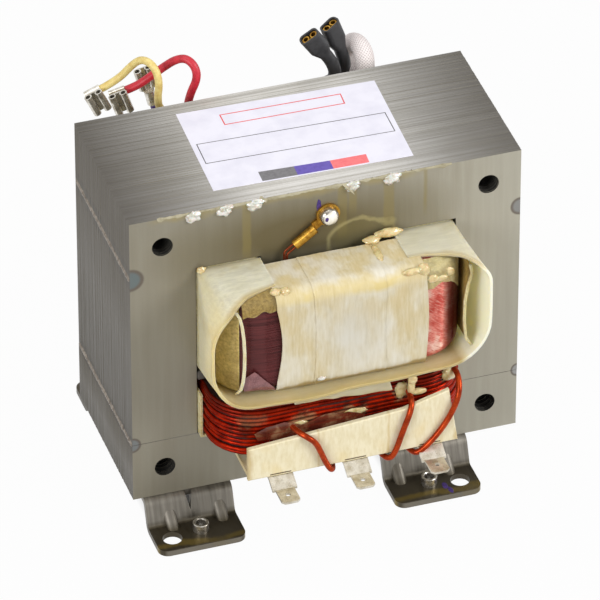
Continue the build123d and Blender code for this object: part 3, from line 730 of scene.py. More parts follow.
leg_end, strip_top = core_low.z + JOINT_GAP, core_low.z - JOINT_GAP
e_outline = [
    (core_middle + across * lam, up)
    for across, up in (
        (-3, leg_end), (-3, core_high.z), (3, core_high.z), (3, leg_end), (2, leg_end), (2, weld_high),
        (1, weld_high), (1, leg_end), (-1, leg_end), (-1, weld_high), (-2, weld_high), (-2, leg_end),
    )
]
i_outline = [
    (core_middle + across * lam, up)
    for across, up in ((-3, core_bottom), (-3, strip_top), (3, strip_top), (3, core_bottom))
]
sheet_pack("e_sheets", e_outline, core_high.z - BOLT_Z, "e_core", 3)
sheet_pack("i_sheets", i_outline, core_bottom + BOLT_Z, "i_core", 8)

# %% [markdown]
# ## Weld beads
# Four beads hold the sheets together, two down each side. A bead is a row of small
# overlapping drops, so a tree sets drops along a line and varies their size a little.

# %% Weld beads
weld_finish = plain("weld_metal", srgb(150, 140, 128), srgb(92, 82, 72), 0.36, 0.7, 0.8, 0.08)
WELD_R = 1.5 * MM
WELD_PITCH = 1.15 * MM
DROP_SHARES = (0.86, 1.0)

ripple = growth("weld_ripple", Count="Int", Start="Vector", Step="Vector", Radius="Float", Seed="Int")
tree, given, _ = ripple
row = {"Count": given["Count"], "Start Location": given["Start"], "Offset": given["Step"]}
line = node(tree, "GeometryNodeMeshLine", row).outputs[0]
drop = node(
    tree, "GeometryNodeMeshUVSphere", {"Segments": 10, "Rings": 6, "Radius": given["Radius"]}
).outputs[0]
size = node(
    tree, "FunctionNodeRandomValue", {2: DROP_SHARES[0], 3: DROP_SHARES[1], 8: given["Seed"]}
).outputs[1]
placed = node(tree, "GeometryNodeInstanceOnPoints", {"Points": line, "Instance": drop, "Scale": size})
rounded = node(tree, "GeometryNodeSetShadeSmooth", {"Geometry": placed.outputs[0]})
end_growth(tree, given, rounded.outputs[0])

weld_length = back_y - front_y - 2 * WELD_R
weld_count = int(weld_length / WELD_PITCH) + 1
for side, solid in ((-1, "weld_beads_left"), (1, "weld_beads_right")):
    low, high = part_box(solid)
    weld_x = high.x - WELD_R if side > 0 else low.x + WELD_R
    for word, weld_z in (("low", weld_low), ("high", weld_high)):
        bead = grown(
            f"{solid}_{word}",
            ripple,
            Count=weld_count,
            Start=(weld_x, front_y + WELD_R, weld_z),
            Step=(0, weld_length / (weld_count - 1), 0),
            Radius=WELD_R,
            Seed=5 + side,
            Finish=weld_finish,
        )
        keep(bead, "weld", solid)

# %% [markdown]
# ## Rails and nuts
# Two bent steel rails carry the core, each with ribs pressed into its bends and two
# extruded nuts. Their solids already have those shapes, so they only need a finish. The
# steel is greyer than the sheets, with brown varnish dried along the feet's front edges.

# %% Rails and nuts


def rail_steel():
    """Cold-rolled strip with drawing lines, dried varnish near the front edges and darker feet, partly as
    painted shade.
    """
    made, tree, shader = finish_base("rail_steel", 0.36, 0.75)
    x, y, z = axes(tree)
    lines = grain(tree, place(tree, (0.9, 0.05, 0.05)), 1.0, 4.0)
    cloud = grain(tree, place(tree), 0.07, 3.0)
    fine = grain(tree, place(tree), 3.0)
    colour = ramp(
        tree, lines, (0.3, srgb(102, 98, 90)), (0.5, srgb(118, 113, 104)), (0.7, srgb(136, 131, 122))
    )
    # The feet's flats are darker olive-brown, partly a tint of the steel and partly painted shade, and
    # darker to the left as painted shade with the light from the right.
    flat = times(tree, span(tree, z, 2.2, 4.0, 1.0, 0.0), span(tree, x, -40, 40, 0.95, 0.85))
    colour = mix(tree, flat, colour, srgb(68, 61, 46))
    wave = sway(tree, cloud, 9.0)
    edge = near_line(tree, plus(tree, y, wave), -46.6, 0.7, 1.3)
    low = span(tree, z, 2.6, 3.4, 0.75, 0.0)
    colour = mix(tree, times(tree, edge, low), colour, srgb(128, 110, 54))
    rim = times(tree, span(tree, y, -48.9, -48.4, 0.7, 0.0), low)
    colour = mix(tree, rim, colour, srgb(140, 134, 122))
    colour = mix(tree, span(tree, cloud, 0.5, 0.68, 0.0, 0.45), colour, srgb(92, 87, 77))
    paint(tree, shader, colour, gloss(tree, lines, 0.28, 0.48), bump(tree, fine, 0.2, 0.03))
    return made


rail_finish = rail_steel()
nut_finish = plain("nut_steel", srgb(190, 186, 178), srgb(120, 112, 100), 0.26, 0.9, 0.9, 0.06)
shunt_finish = plain("shunt_steel", srgb(120, 118, 112), srgb(80, 76, 68), 0.45, 0.7, 0.4)
dress(rail_finish, "base_rail_left", "base_rail_right")
dress(nut_finish, "foot_nuts_left", "foot_nuts_right")
dress(shunt_finish, "shunt_left", "shunt_right")
print("rails dressed")

# %% [markdown]
# ## Coils
# The primary has a dozen rows of thick enamelled wire and the secondary many turns of
# fine wire. One tree grows both: a rounded rectangle for a turn, copies up a line, a
# little wobble, and a round profile swept along. A solid body sits behind the turns so
# that no light gets through between them; it is near black, as painted shade between the turns.

# %% Coil finishes
# Each pool of varnish on the primary's front: its centre and radii across and up, and its share
POOLS = (
    ((-7.0, 44.6), (6.5, 4.2), 0.75), ((9.0, 45.0), (7.5, 3.0), 0.7), ((27.0, 50.0), (3.4, 5.0), 0.8),
    ((44.0, 52.0), (3.0, 4.0), 0.7), ((-24.0, 49.0), (6.0, 3.0), 0.35),
)
thick_enamel = enamel(
    "primary_enamel",
    srgb(164, 32, 2),
    srgb(90, 8, 1),
    srgb(63, 19, 8),
    roughness=0.24,
    pools=POOLS,
    painted_shade_heights=(48.5, 54),
)
# The body behind the turns is near black, as painted shade between the turns.
gap_shade_enamel = plain("primary_gap_shade", srgb(34, 10, 8), srgb(18, 6, 5), 0.5)


def fine_wire():
    """Thin dark-red wire, pink with dried varnish on the right and paler there as painted light, with
    painted shade at its far right.
    """
    made, tree, shader = finish_base("secondary_enamel", 0.36, 0.2, Specular_IOR_Level=0.3)
    x, _, _ = axes(tree)
    row = grain(tree, place(tree, (0.05, 0.05, 1.6)), 1.0, 3.0)
    cloud = grain(tree, place(tree), 0.14, 3.0)
    fine = grain(tree, place(tree), 3.0)
    colour = ramp(tree, row, (0.3, srgb(58, 20, 20)), (0.5, srgb(83, 34, 34)), (0.7, srgb(98, 43, 43)))
    # Pink dried varnish, made paler as painted light.
    varnish_light_and_shade = ramp(
        tree, cloud, (0.36, srgb(186, 66, 52)), (0.5, srgb(222, 128, 112)), (0.62, srgb(240, 196, 178))
    )
    at = node(tree, "ShaderNodeTexCoord").outputs["Object"]
    slant = node(
        tree,
        "ShaderNodeMapping",
        {"Vector": at, "Rotation": (0, radians(38), 0), "Scale": mm(3.2, 3.2, 0.24)},
        vector_type="TEXTURE",
    ).outputs[0]
    strand = grain(tree, slant, 1.0, 3.0)
    varnish_light_and_shade = mix(tree, span(tree, strand, 0.52, 0.66, 0.0, 0.45), varnish_light_and_shade, srgb(228, 190, 172))
    varnish_light_and_shade = mix(tree, span(tree, strand, 0.46, 0.36, 0.0, 0.7), varnish_light_and_shade, srgb(176, 50, 34))
    # Painted shade: the far right of the coil is darkened, as in the shadow of the wrap's fold.
    varnish_light_and_shade = mix(tree, span(tree, x, 40.5, 43, 0.0, 0.8), varnish_light_and_shade, srgb(84, 22, 18))
    colour = mix(tree, span(tree, x, 24, 36, 0.0, 0.9), colour, varnish_light_and_shade)
    paint(tree, shader, colour, gloss(tree, fine, 0.28, 0.5), bump(tree, row, 0.2, 0.05))
    return made


fine_enamel = fine_wire()
print("coil finishes ready")

# %% Winding tree
WOBBLE_WAVES = 60.0
CORNER_POINTS = 12

winding = growth(
    "winding",
    Width="Float",
    Depth="Float",
    Corner="Float",
    Wire="Float",
    Rows="Int",
    Pitch="Float",
    Start="Vector",
    Edge="Float",
    Shake="Vector",
    Wobble="Float",
    Step="Float",
    Sides="Int",
    Seed="Int",
)
tree, given, _ = winding
turn = node(
    tree, "GeometryNodeCurvePrimitiveQuadrilateral", {"Width": given["Width"], "Height": given["Depth"]}
)
turn = node(
    tree,
    "GeometryNodeFilletCurve",
    {"Curve": turn.outputs[0], "Radius": given["Corner"], "Count": CORNER_POINTS},
    mode="POLY",
)
turn = node(
    tree, "GeometryNodeResampleCurve", {"Curve": turn.outputs[0], "Length": given["Step"]}, mode="LENGTH"
)
line = node(
    tree,
    "GeometryNodeMeshLine",
    {"Count": given["Rows"], "Start Location": given["Start"], "Offset": vector(tree, z=given["Pitch"])},
)
placed = node(
    tree, "GeometryNodeInstanceOnPoints", {"Points": line.outputs[0], "Instance": turn.outputs[0]}
)
order = node(tree, "GeometryNodeInputIndex").outputs[0]
rise = times(tree, order, given["Pitch"])
whole = times(tree, minus(tree, given["Rows"], 1.0), given["Pitch"])
near_end = math(tree, "MINIMUM", rise, minus(tree, whole, rise))
short = math(tree, "MAXIMUM", minus(tree, given["Edge"], near_end), 0.0)
square = minus(tree, times(tree, given["Edge"], given["Edge"]), times(tree, short, short))
round_off = minus(tree, given["Edge"], math(tree, "SQRT", square))
less = times(tree, round_off, 2.0)
shrink = vector(
    tree,
    minus(tree, 1.0, math(tree, "DIVIDE", less, given["Width"])),
    minus(tree, 1.0, math(tree, "DIVIDE", less, given["Depth"])),
    1.0,
)
shaped = node(tree, "GeometryNodeScaleInstances", {"Instances": placed.outputs[0], "Scale": shrink})
moved = node(
    tree,
    "GeometryNodeTranslateInstances",
    {"Instances": shaped.outputs[0], "Translation": random_vector(tree, given["Shake"], given["Seed"])},
)
real = node(tree, "GeometryNodeRealizeInstances", {"Geometry": moved.outputs[0]})
spot = node(tree, "GeometryNodeInputPosition").outputs[0]
waves = node(
    tree, "ShaderNodeTexNoise", {"Vector": spot, "Scale": WOBBLE_WAVES, "Detail": 1.0}
).outputs["Color"]
waves = node(tree, "ShaderNodeVectorMath", {0: waves, 1: (0.5, 0.5, 0.5)}, operation="SUBTRACT").outputs[0]
waves = node(
    tree, "ShaderNodeVectorMath", {0: waves, "Scale": given["Wobble"]}, operation="SCALE"
).outputs[0]
waved = node(tree, "GeometryNodeSetPosition", {"Geometry": real.outputs[0], "Offset": waves})
round_wire = {"Resolution": given["Sides"], "Radius": times(tree, given["Wire"], 0.5)}
profile = node(tree, "GeometryNodeCurvePrimitiveCircle", round_wire)
tube = node(
    tree, "GeometryNodeCurveToMesh", {"Curve": waved.outputs[0], "Profile Curve": profile.outputs[0]}
)
rounded = node(tree, "GeometryNodeSetShadeSmooth", {"Geometry": tube.outputs[0]})
end_growth(tree, given, rounded.outputs[0])
print("winding tree ready")

# %% Primary coil


def quarter(across, up, radius, start, steps):
    """Points along a quarter of a circle; the start is counted in quarter turns."""
    angles = [(start + step / steps) * pi / 2 for step in range(steps + 1)]
    return [(across + radius * cos(angle), up + radius * sin(angle)) for angle in angles]


def rounded_loop(half_x, half_y, radius, arc=8):
    """Points round a rounded rectangle, anticlockwise from its right side."""
    points = []
    for start, (sign_x, sign_y) in enumerate(((1, 1), (-1, 1), (-1, -1), (1, -1))):
        points.extend(quarter(sign_x * (half_x - radius), sign_y * (half_y - radius), radius, start, arc))
    return points


def ring_body(name, outer, inner, low, high):
    """A ring with upright walls between two loops."""
    count = len(outer)
    levels = ((outer, low), (outer, high), (inner, high), (inner, low))
    spots = [(core_middle + x, y, z) for loop, z in levels for x, y in loop]
    faces = []
    for level in range(len(levels)):
        here, above = level * count, (level + 1) % len(levels) * count
        for step in range(count):
            after = (step + 1) % count
            faces.append((here + step, here + after, above + after, above + step))
    mesh = bpy.data.meshes.new(name)
    mesh.from_pydata(spots, [], faces)
    return mesh


low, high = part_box("primary_coil")
PRIMARY_ROWS = 12
WIRE_SHARE, INSIDE_SHARE = 0.8, 0.55
INSIDE_CORNER, INSIDE_PLAY = mm(14, 0.2)
INSIDE_BORE = mm(23.625, 33.5, 2)
wire = (high.z - low.z) / PRIMARY_ROWS
coil_x, coil_y = (high.x - low.x) / 2, (high.y - low.y) / 2
primary = grown(
    "primary_turns",
    winding,
    Width=2 * coil_x - wire,
    Depth=2 * coil_y - wire,
    Corner=14.2 * MM,
    Wire=wire * WIRE_SHARE,
    Rows=PRIMARY_ROWS,
    Pitch=wire,
    Start=(core_middle, 0, low.z + wire / 2),
    Edge=0.0,
    Shake=mm(0.35, 0.35, 0.1),
    Wobble=0.9 * MM,
    Step=3.0 * MM,
    Sides=10,
    Seed=4,
    Finish=thick_enamel,
)
keep(primary, "primary_wire", "primary_coil")
inset = wire * INSIDE_SHARE
body = ring_body(
    "primary_inside",
    rounded_loop(coil_x - inset, coil_y - inset, INSIDE_CORNER),
    rounded_loop(*INSIDE_BORE),
    low.z + INSIDE_PLAY,
    high.z - INSIDE_PLAY,
)
keep(put(body, "primary_inside", gap_shade_enamel), "primary_wire", "primary_coil")

# %% Secondary coil
low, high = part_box("secondary_coil")
FINE_PITCH = 0.46 * MM
FINE_EDGE = 4 * MM
SECONDARY_CORNER = 15
rows = int((high.z - low.z) / FINE_PITCH)
coil_x, coil_y = (high.x - low.x) / 2, (high.y - low.y) / 2
secondary = grown(
    "secondary_turns",
    winding,
    Width=2 * coil_x,
    Depth=2 * coil_y,
    Corner=SECONDARY_CORNER * MM,
    Wire=0.44 * MM,
    Rows=rows,
    Pitch=FINE_PITCH,
    Start=(core_middle, 0, low.z + (high.z - low.z - (rows - 1) * FINE_PITCH) / 2),
    Edge=FINE_EDGE,
    Shake=mm(0.06, 0.06, 0.05),
    Wobble=0.3 * MM,
    Step=6.0 * MM,
    Sides=5,
    Seed=9,
    Finish=fine_enamel,
)
keep(secondary, "secondary_wire")
dress(fine_enamel, "secondary_coil")
print("coils wound")

# %% [markdown]
# ## Paper collars
# A paper collar stands round each end of the secondary. It starts as the sharp outline
# of the two windows and opens to a wide rounded mouth, with two flaps folded over the
# top. The sheet is built as a grid: points go round the outline, and rows go from the
# root to the rim. Building it this way, rather than by cutting a solid, lets the paper
# ripple and lets each flap end in its own slanted edge.

# %% Collar sizes and papers
COLLAR_T = 1.0 * MM
COLLAR_ROOT_R = mm(2, 2, 2, 2)
COLLAR_RIM_R = mm(16, 16, 16, 9)
COLLAR_ROWS = 16
COLLAR_MOUTH, COLLAR_ROOT_PLAY = mm(22.8, 0.3)
COLLAR_BULGE, COLLAR_SAG = mm(1.8, 1.8)
FLAP_FALL = 0.2
# Each flap: its reach at the mouth, then how its free edge slopes and bends from there
LEFT_FLAP = (16.4 * MM, 0.43, 0.0)
RIGHT_FLAP = (15.2 * MM, 0.0, 0.02 / MM)
RIPPLE_WAVES, RIPPLE_RUN = 70, 60
RIPPLE_SIZE, RIPPLE_DIP = mm(0.45, 0.2)
EDGE_WAVES, EDGE_SEED = 45, 7.0
EDGE_WAVE_SIZE, EDGE_WAVE_DIP = mm(0.9, 0.5)
SHARP_ANGLE = radians(50)

white_paper = paper(
    "collar_paper",
    srgb(224, 216, 190),
    srgb(200, 192, 168),
    srgb(184, 164, 112),
    (0.12, 0.5, 1),
    1.2,
    stain_from=0.57,
    stain_share=0.5,
    soak=4.0,
    rim_share=0.7,
)
tan_paper = paper(
    "wrap_paper", srgb(216, 192, 124), srgb(164, 142, 82), srgb(134, 113, 62), size=1.1, stain_from=0.5
)
liner_paper = paper(
    "liner_paper", srgb(214, 202, 160), srgb(180, 164, 112), srgb(140, 118, 68), (1, 0.3, 1), 1.2
)
print("papers ready")

# %% Paper collars


def outline_walk(half_x, half_z, radii, start_x, arc=10, straight=16):
    """Points along an outline from the left flap's free edge, round below, to the right one's."""
    corners = ((-1, 1), (-1, -1), (1, -1), (1, 1))
    keys = [[(-start_x, half_z)]]
    for count, ((side_x, side_z), radius) in enumerate(zip(corners, radii)):
        across, up = side_x * (half_x - radius), side_z * (half_z - radius)
        keys.append(quarter(across, up, radius, count + 1, arc))
    keys.append([(start_x, half_z)])
    points = []
    for before, after in zip(keys, keys[1:]):
        points.extend(before)
        (x0, z0), (x1, z1) = before[-1], after[0]
        for step in range(1, straight):
            share = step / straight
            points.append((x0 + (x1 - x0) * share, z0 + (z1 - z0) * share))
    points.extend(keys[-1])
    return points


def paper_grid(name, rows, thickness, finish):
    """A sheet through rows of points, thickened inwards; each point knows how near the last row it is."""
    width = len(rows[0])
    spots = [spot for row in rows for spot in row]
    faces = []
    for level in range(len(rows) - 1):
        for step in range(width - 1):
            here = level * width + step
            faces.append((here, here + 1, here + width + 1, here + width))
    mesh = bpy.data.meshes.new(name)
    mesh.from_pydata(spots, [], faces)
    sheet = bmesh.new()
    sheet.from_mesh(mesh)
    rim = sheet.verts.layers.float.new("rim")
    for index, vertex in enumerate(sheet.verts):
        vertex[rim] = (index // width) / (len(rows) - 1)
    bmesh.ops.solidify(sheet, geom=list(sheet.faces), thickness=thickness)
    bmesh.ops.recalc_face_normals(sheet, faces=list(sheet.faces))
    sheet.to_mesh(mesh)
    sheet.free()
    smooth(mesh)
    mesh.set_sharp_from_angle(angle=SHARP_ANGLE)
    return put(mesh, name, finish)


def collar(solid, side):
    """One collar, on the front (-1) or the back (+1) of the core."""
    low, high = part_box(solid)
    half_z = (high.z - low.z) / 2
    middle_z = (high.z + low.z) / 2
    rim_x = (high.x - low.x) / 2
    root_x = lam * 2 - COLLAR_ROOT_PLAY
    reach = high.y - low.y
    root = outline_walk(root_x, half_z, COLLAR_ROOT_R, COLLAR_MOUTH)
    rim = outline_walk(rim_x, half_z, COLLAR_RIM_R, COLLAR_MOUTH)
    ends = []
    for x, z in rim:
        corner_reach, slope, bend = LEFT_FLAP if x < 0 else RIGHT_FLAP
        past = abs(x) - COLLAR_MOUTH
        here = corner_reach + slope * past + bend * past**2 + FLAP_FALL * (half_z - z)
        ends.append(min(1.0, here / reach) if z > 0 else 1.0)
    rows = []
    for level in range(COLLAR_ROWS + 1):
        row = []
        for (x0, z0), (x1, z1), end in zip(root, rim, ends):
            share = level / COLLAR_ROWS * end
            x, z = x0 + (x1 - x0) * share, z0 + (z1 - z0) * share
            out = reach * share
            ripple = noise.noise(Vector((x * RIPPLE_WAVES, z * RIPPLE_WAVES, out * RIPPLE_RUN + side)))
            wave = noise.noise(Vector((x * EDGE_WAVES, z * EDGE_WAVES, EDGE_SEED + side)))
            if side < 0:
                x += COLLAR_BULGE * share**2 * max(0.0, x1) / rim_x
                z -= COLLAR_SAG * share**2 * max(0.0, -z1 / half_z) * (0.5 - 0.5 * x1 / rim_x)
            ray = Vector((x, z)).normalized() * min(0.0, ripple * RIPPLE_SIZE * share - RIPPLE_DIP)
            depth = min(reach, out + (wave * EDGE_WAVE_SIZE * share - EDGE_WAVE_DIP) * share)
            row.append((core_middle + x + ray.x, side * (back_y + depth), middle_z + z + ray.y))
        rows.append(row)
    name = solid.replace("collar", "paper_collar")
    made = paper_grid(name, rows, COLLAR_T if side < 0 else -COLLAR_T, white_paper)
    print(made.name, "has", len(made.data.polygons), "faces")
    return keep(made, "paper", solid)


collar("collar_front", -1)
collar("collar_back", 1)

# %% [markdown]
# ## Coil wraps and tape bands
# Brown paper is wrapped round the left and right sides of the secondary, and a band of
# pale tape goes over the middle of each end. The left wrap keeps its solid, with a mottled
# finish. The right one stands off the coil, so it is a loose sheet drawn between a few
# edges, like the torn paper, the film and the varnish skin that lie about the coils. Each
# band is a grid that follows the coil's rounded edges, with upright creases where one
# layer ends on another.

# %% Coil wraps
LIP_T = 0.3 * MM
dress(tan_paper, "coil_wrap_left")


def lip(name, points, thick, deep, finish):
    """A flat strip of paper edge along points, as wide as thick and as deep as given."""
    rows = []
    for across, along in ((-0.5, 0.0), (-0.42, -0.5), (0.42, -0.5), (0.5, 0.0)):
        rows.append([Vector(mm(*spot)) + Vector((across * thick, along * deep, 0)) * MM for spot in points])
    return keep(paper_grid(name, rows, LIP_T, finish), "paper")


edge_paper = paper(
    "edge_paper", srgb(234, 222, 184), srgb(212, 196, 152), srgb(190, 168, 112), (1, 1, 0.4), 1.2
)
dress(liner_paper, "primary_liner_left", "primary_liner_right")
dress(liner_paper, "secondary_liner_left", "secondary_liner_right")


def tape_paper():
    """Pale tape with upright fibres, hazy varnish and a yellow stain along its top edge."""
    made, tree, shader = finish_base("tape_paper", 0.5, Specular_IOR_Level=0.4, Coat_Weight=0.15)
    x, y, z = axes(tree)
    fibre = grain(tree, place(tree, (1.1, 0.3, 0.16)), 1.0, 6.0, 0.62)
    cloud = grain(tree, place(tree, (1, 1, 0.6)), 0.09, 3.0)
    colour = ramp(
        tree, fibre, (0.26, srgb(188, 174, 138)), (0.5, srgb(204, 192, 160)), (0.72, srgb(214, 205, 180))
    )
    haze = span(tree, cloud, 0.46, 0.66, 0.0, 0.55)
    colour = mix(tree, haze, colour, srgb(222, 220, 212))
    stain = span(tree, cloud, 0.5, 0.36, 0.0, 0.5)
    colour = mix(tree, stain, colour, srgb(198, 176, 122))
    grey = times(tree, near_spot(tree, x, z, (9, 80), (15, 17), 0.9), span(tree, y, -40, -30, 0.5, 0.0))
    colour = mix(tree, grey, colour, srgb(196, 194, 186))
    lift = plus(tree, z, sway(tree, cloud, 8.0))
    patchy = times(tree, near_line(tree, lift, 96.6, 0.8, 2.0), span(tree, cloud, 0.38, 0.6, 0.15, 0.8))
    colour = mix(tree, patchy, colour, srgb(206, 184, 112))
    colour = mix(tree, times(tree, near_line(tree, lift, 60.6, 1.2, 1.2), 0.8), colour, srgb(150, 124, 66))
    paint(tree, shader, colour, gloss(tree, cloud, 0.62, 0.36), bump(tree, fibre, 0.55, 0.16))
    return made


tape_finish = tape_paper()
left_edge = (
    (-30.6, -51.0, 95.6), (-29.4, -51.9, 93.5), (-28.7, -52.2, 90), (-28.2, -52.4, 85), (-28.0, -52.5, 79),
    (-28.1, -52.4, 73), (-28.5, -52.2, 68), (-29.2, -51.7, 64.6), (-30.2, -50.6, 62.6),
)
right_edge = (
    (49.4, -50.6, 96.0), (49.8, -51.2, 93.3), (48.4, -51.5, 88.6), (47.5, -51.5, 82.8), (47.3, -51.5, 74.8),
    (48.0, -51.4, 67.3), (50.0, -51.0, 64.0),
)
lip("left_wrap_edge", left_edge, 1.1, 1.2, edge_paper)
lip("right_wrap_edge", right_edge, 1.0, 1.0, liner_paper)
cap_finish = paper(
    "cap_paper",
    srgb(206, 190, 140),
    srgb(170, 152, 102),
    srgb(132, 112, 66),
    (0.5, 1, 0.5),
    1.2,
    stain_from=0.5,
)
print("wraps edged")

# %% Loose paper and film
FOLD_WAVES, FOLD_SIZE = 0.25, 0.3
WRAP_T, CAP_T, TONGUE_T, FILM_T, SKIN_T = mm(0.4, 0.3, 0.35, 0.12, 0.25)
SHEET_COLUMNS, FILM_COLUMNS, SKIN_COLUMNS = 24, 18, 48
TORN_LIFT = 0.5


def loose_sheet(name, edges, columns, thickness, finish, slot, *replaced):
    """A thin loose sheet between edges; each edge is a list of points in millimetres."""
    rows = []
    for edge in edges:
        row = []
        for step in range(columns + 1):
            at = step / columns * (len(edge) - 1)
            first = min(int(at), len(edge) - 2)
            spot = Vector(edge[first]).lerp(Vector(edge[first + 1]), at - first)
            spot += Vector((0, 1, 1)) * noise.noise(spot * FOLD_WAVES) * FOLD_SIZE
            row.append(spot * MM)
        rows.append(row)
    return keep(paper_grid(name, rows, thickness, finish), slot, *replaced)


coil_low, coil_high = [[value / MM for value in corner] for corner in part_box("secondary_coil")]


def coil_front(x):
    """How far forward the secondary's rounded right corner reaches at a place across, in millimetres."""
    past = max(0.0, x - (coil_high[0] - SECONDARY_CORNER))
    return coil_low[1] + SECONDARY_CORNER - sqrt(SECONDARY_CORNER**2 - past**2)


WRAP_X = 49.8
# Further edges of the right wrap: how far each has come out to the flat side, and its y
WRAP_STEPS = ((0.5, -48.0), (1.0, -43.0), (1.0, 0.0), (1.0, 43.0), (0.5, 48.0))
# A darker brown paper for the right wrap and the left caps: partly the paper's own stain, partly painted
# shade in the fold and under the flap.
fold_paper = paper(
    "fold_paper", srgb(164, 140, 80), srgb(112, 92, 44), srgb(88, 70, 30), size=1.1, stain_from=0.5
)
wrap_edges = [right_edge]
for share, y in WRAP_STEPS:
    wrap_edges.append([(x + (WRAP_X - x) * share, y, z) for x, _, z in right_edge])
loose_sheet("right_wrap", wrap_edges, SHEET_COLUMNS, WRAP_T, fold_paper, "paper", "coil_wrap_right")
cap_x = (34.2, 36.5, 40.0, 43.0, 45.5, 47.5)
torn_z = (90.2, 89.8, 91.2, 89.6, 87.2, 83.5)
cap_folds = ((4.6, 98.0), (1.0, 97.0), (-0.3, 94.4))
cap_edges = [[(x, coil_front(x) + back, z) for x in cap_x] for back, z in cap_folds]
cap_edges.append([(x, coil_front(x) - TORN_LIFT, z) for x, z in zip(cap_x, torn_z)])
loose_sheet("right_cap_front", cap_edges, SHEET_COLUMNS, CAP_T, cap_finish, "paper")
tongue_edges = (
    ((-12.0, -47.0, 57.4), (21.0, -47.0, 57.4)),
    ((-12.0, -53.6, 57.2), (4.0, -53.6, 57.2), (21.2, -53.6, 57.2)),
    ((-11.6, -54.6, 56.6), (4.0, -54.6, 55.8), (21.8, -54.4, 54.6)),
)
loose_sheet("paper_tongue", tongue_edges, SHEET_COLUMNS, TONGUE_T, white_paper, "paper")
film_finish = plain("coil_film", srgb(132, 82, 82), srgb(96, 50, 52), 0.22, size=0.3, Coat_Weight=0.4)
film_edges = (
    ((-28.2, -51.4, 68.6), (-24.2, -51.5, 70.2), (-17.6, -51.6, 62.8)),
    ((-28.2, -51.4, 66.0), (-23.0, -51.5, 65.6), (-17.2, -51.5, 62.0)),
    ((-27.8, -50.9, 63.0), (-22.0, -50.7, 62.2), (-17.0, -50.7, 61.4)),
)
loose_sheet("coil_film", film_edges, FILM_COLUMNS, FILM_T, film_finish, "paper")


def resin_skin():
    """Varnish dried over the primary's front, with the wires showing through as streaks."""
    made, tree, shader = finish_base("resin_skin", 0.24, Coat_Weight=0.4, Coat_Roughness=0.15)
    wires = grain(tree, place(tree, (0.05, 1, 0.8)), 1.0, 3.0)
    cloud = grain(tree, place(tree), 0.22, 4.0)
    colour = ramp(
        tree, cloud, (0.36, srgb(74, 24, 14)), (0.52, srgb(99, 50, 33)), (0.66, srgb(144, 109, 79))
    )
    colour = mix(tree, span(tree, wires, 0.48, 0.62, 0.0, 0.6), colour, srgb(116, 34, 18))
    paint(tree, shader, colour, gloss(tree, cloud, 0.34, 0.18), bump(tree, cloud, 0.5, 0.5))
    return made


skin_edges = (
    (
        (-24.0, -50.2, 44.0), (-20.0, -50.4, 46.4), (-14.0, -50.5, 47.0), (-8.0, -50.5, 44.8),
        (0.0, -50.5, 46.8), (8.0, -50.5, 46.2), (14.0, -50.3, 43.6),
    ),
    (
        (-23.6, -50.3, 43.0), (-20.0, -50.7, 44.0), (-14.0, -50.9, 44.2), (-8.0, -50.9, 42.6),
        (0.0, -50.9, 43.6), (8.0, -50.8, 43.4), (13.6, -50.4, 42.4),
    ),
    (
        (-23.0, -50.3, 41.6), (-18.0, -50.5, 41.0), (-13.0, -50.6, 39.4), (-6.0, -50.6, 38.4),
        (1.0, -50.6, 39.2), (8.0, -50.5, 39.8), (13.2, -50.3, 41.2),
    ),
)
loose_sheet("resin_skin", skin_edges, SKIN_COLUMNS, SKIN_T, resin_skin(), "paper")
print("loose paper laid")

# %% Tape bands
BAND_EDGE_R, BAND_T = mm(4.8, 0.5)
BAND_COLUMNS = 72
TOP_STEPS, BEND_STEPS, FRONT_STEPS, UNDER_STEPS = 12, 8, 24, 7
BAND_WAVES_X, BAND_WAVES = 90, 60
BAND_WAVE_SIZE, BAND_TOP_PUSH = mm(0.22, 0.5)
# Each crease: its place across and its height, in millimetres
CREASES = ((-4.2, 0.35), (1.5, 0.2), (3.4, 0.22), (14.0, 0.2), (20.5, 0.28), (27.0, 0.25))
CREASE_HALF, CREASE_FALL, CREASE_END_SHARE = 0.45, 2.718, 0.35


def band_profile(inner, outer, low, high, side):
    """Points down a band's section, each with its way out and how full the front is there."""
    flat = outer - BAND_EDGE_R
    points = [(inner + (flat - inner) * step / TOP_STEPS, high, 0.0, 1.0, 0.0) for step in range(TOP_STEPS)]

    def bend(middle_z, start):
        """Points a quarter turn down round one of the coil's edges."""
        for step in range(BEND_STEPS + 1):
            angle = start - pi / 2 * step / BEND_STEPS
            way_y, way_z = cos(angle), sin(angle)
            points.append((flat + BAND_EDGE_R * way_y, middle_z + BAND_EDGE_R * way_z, way_y, way_z, 0.0))

    bend(high - BAND_EDGE_R, pi / 2)
    for step in range(1, FRONT_STEPS):
        share = step / FRONT_STEPS
        z = high - BAND_EDGE_R + (low - high + 2 * BAND_EDGE_R) * share
        points.append((outer, z, 1.0, 0.0, sin(pi * share)))
    bend(low + BAND_EDGE_R, 0.0)
    for step in range(1, UNDER_STEPS + 1):
        points.append((flat + (inner - flat) * step / UNDER_STEPS, low, 0.0, -1.0, 0.0))
    return [(side * y, z, side * way_y, way_z, belly) for y, z, way_y, way_z, belly in points]


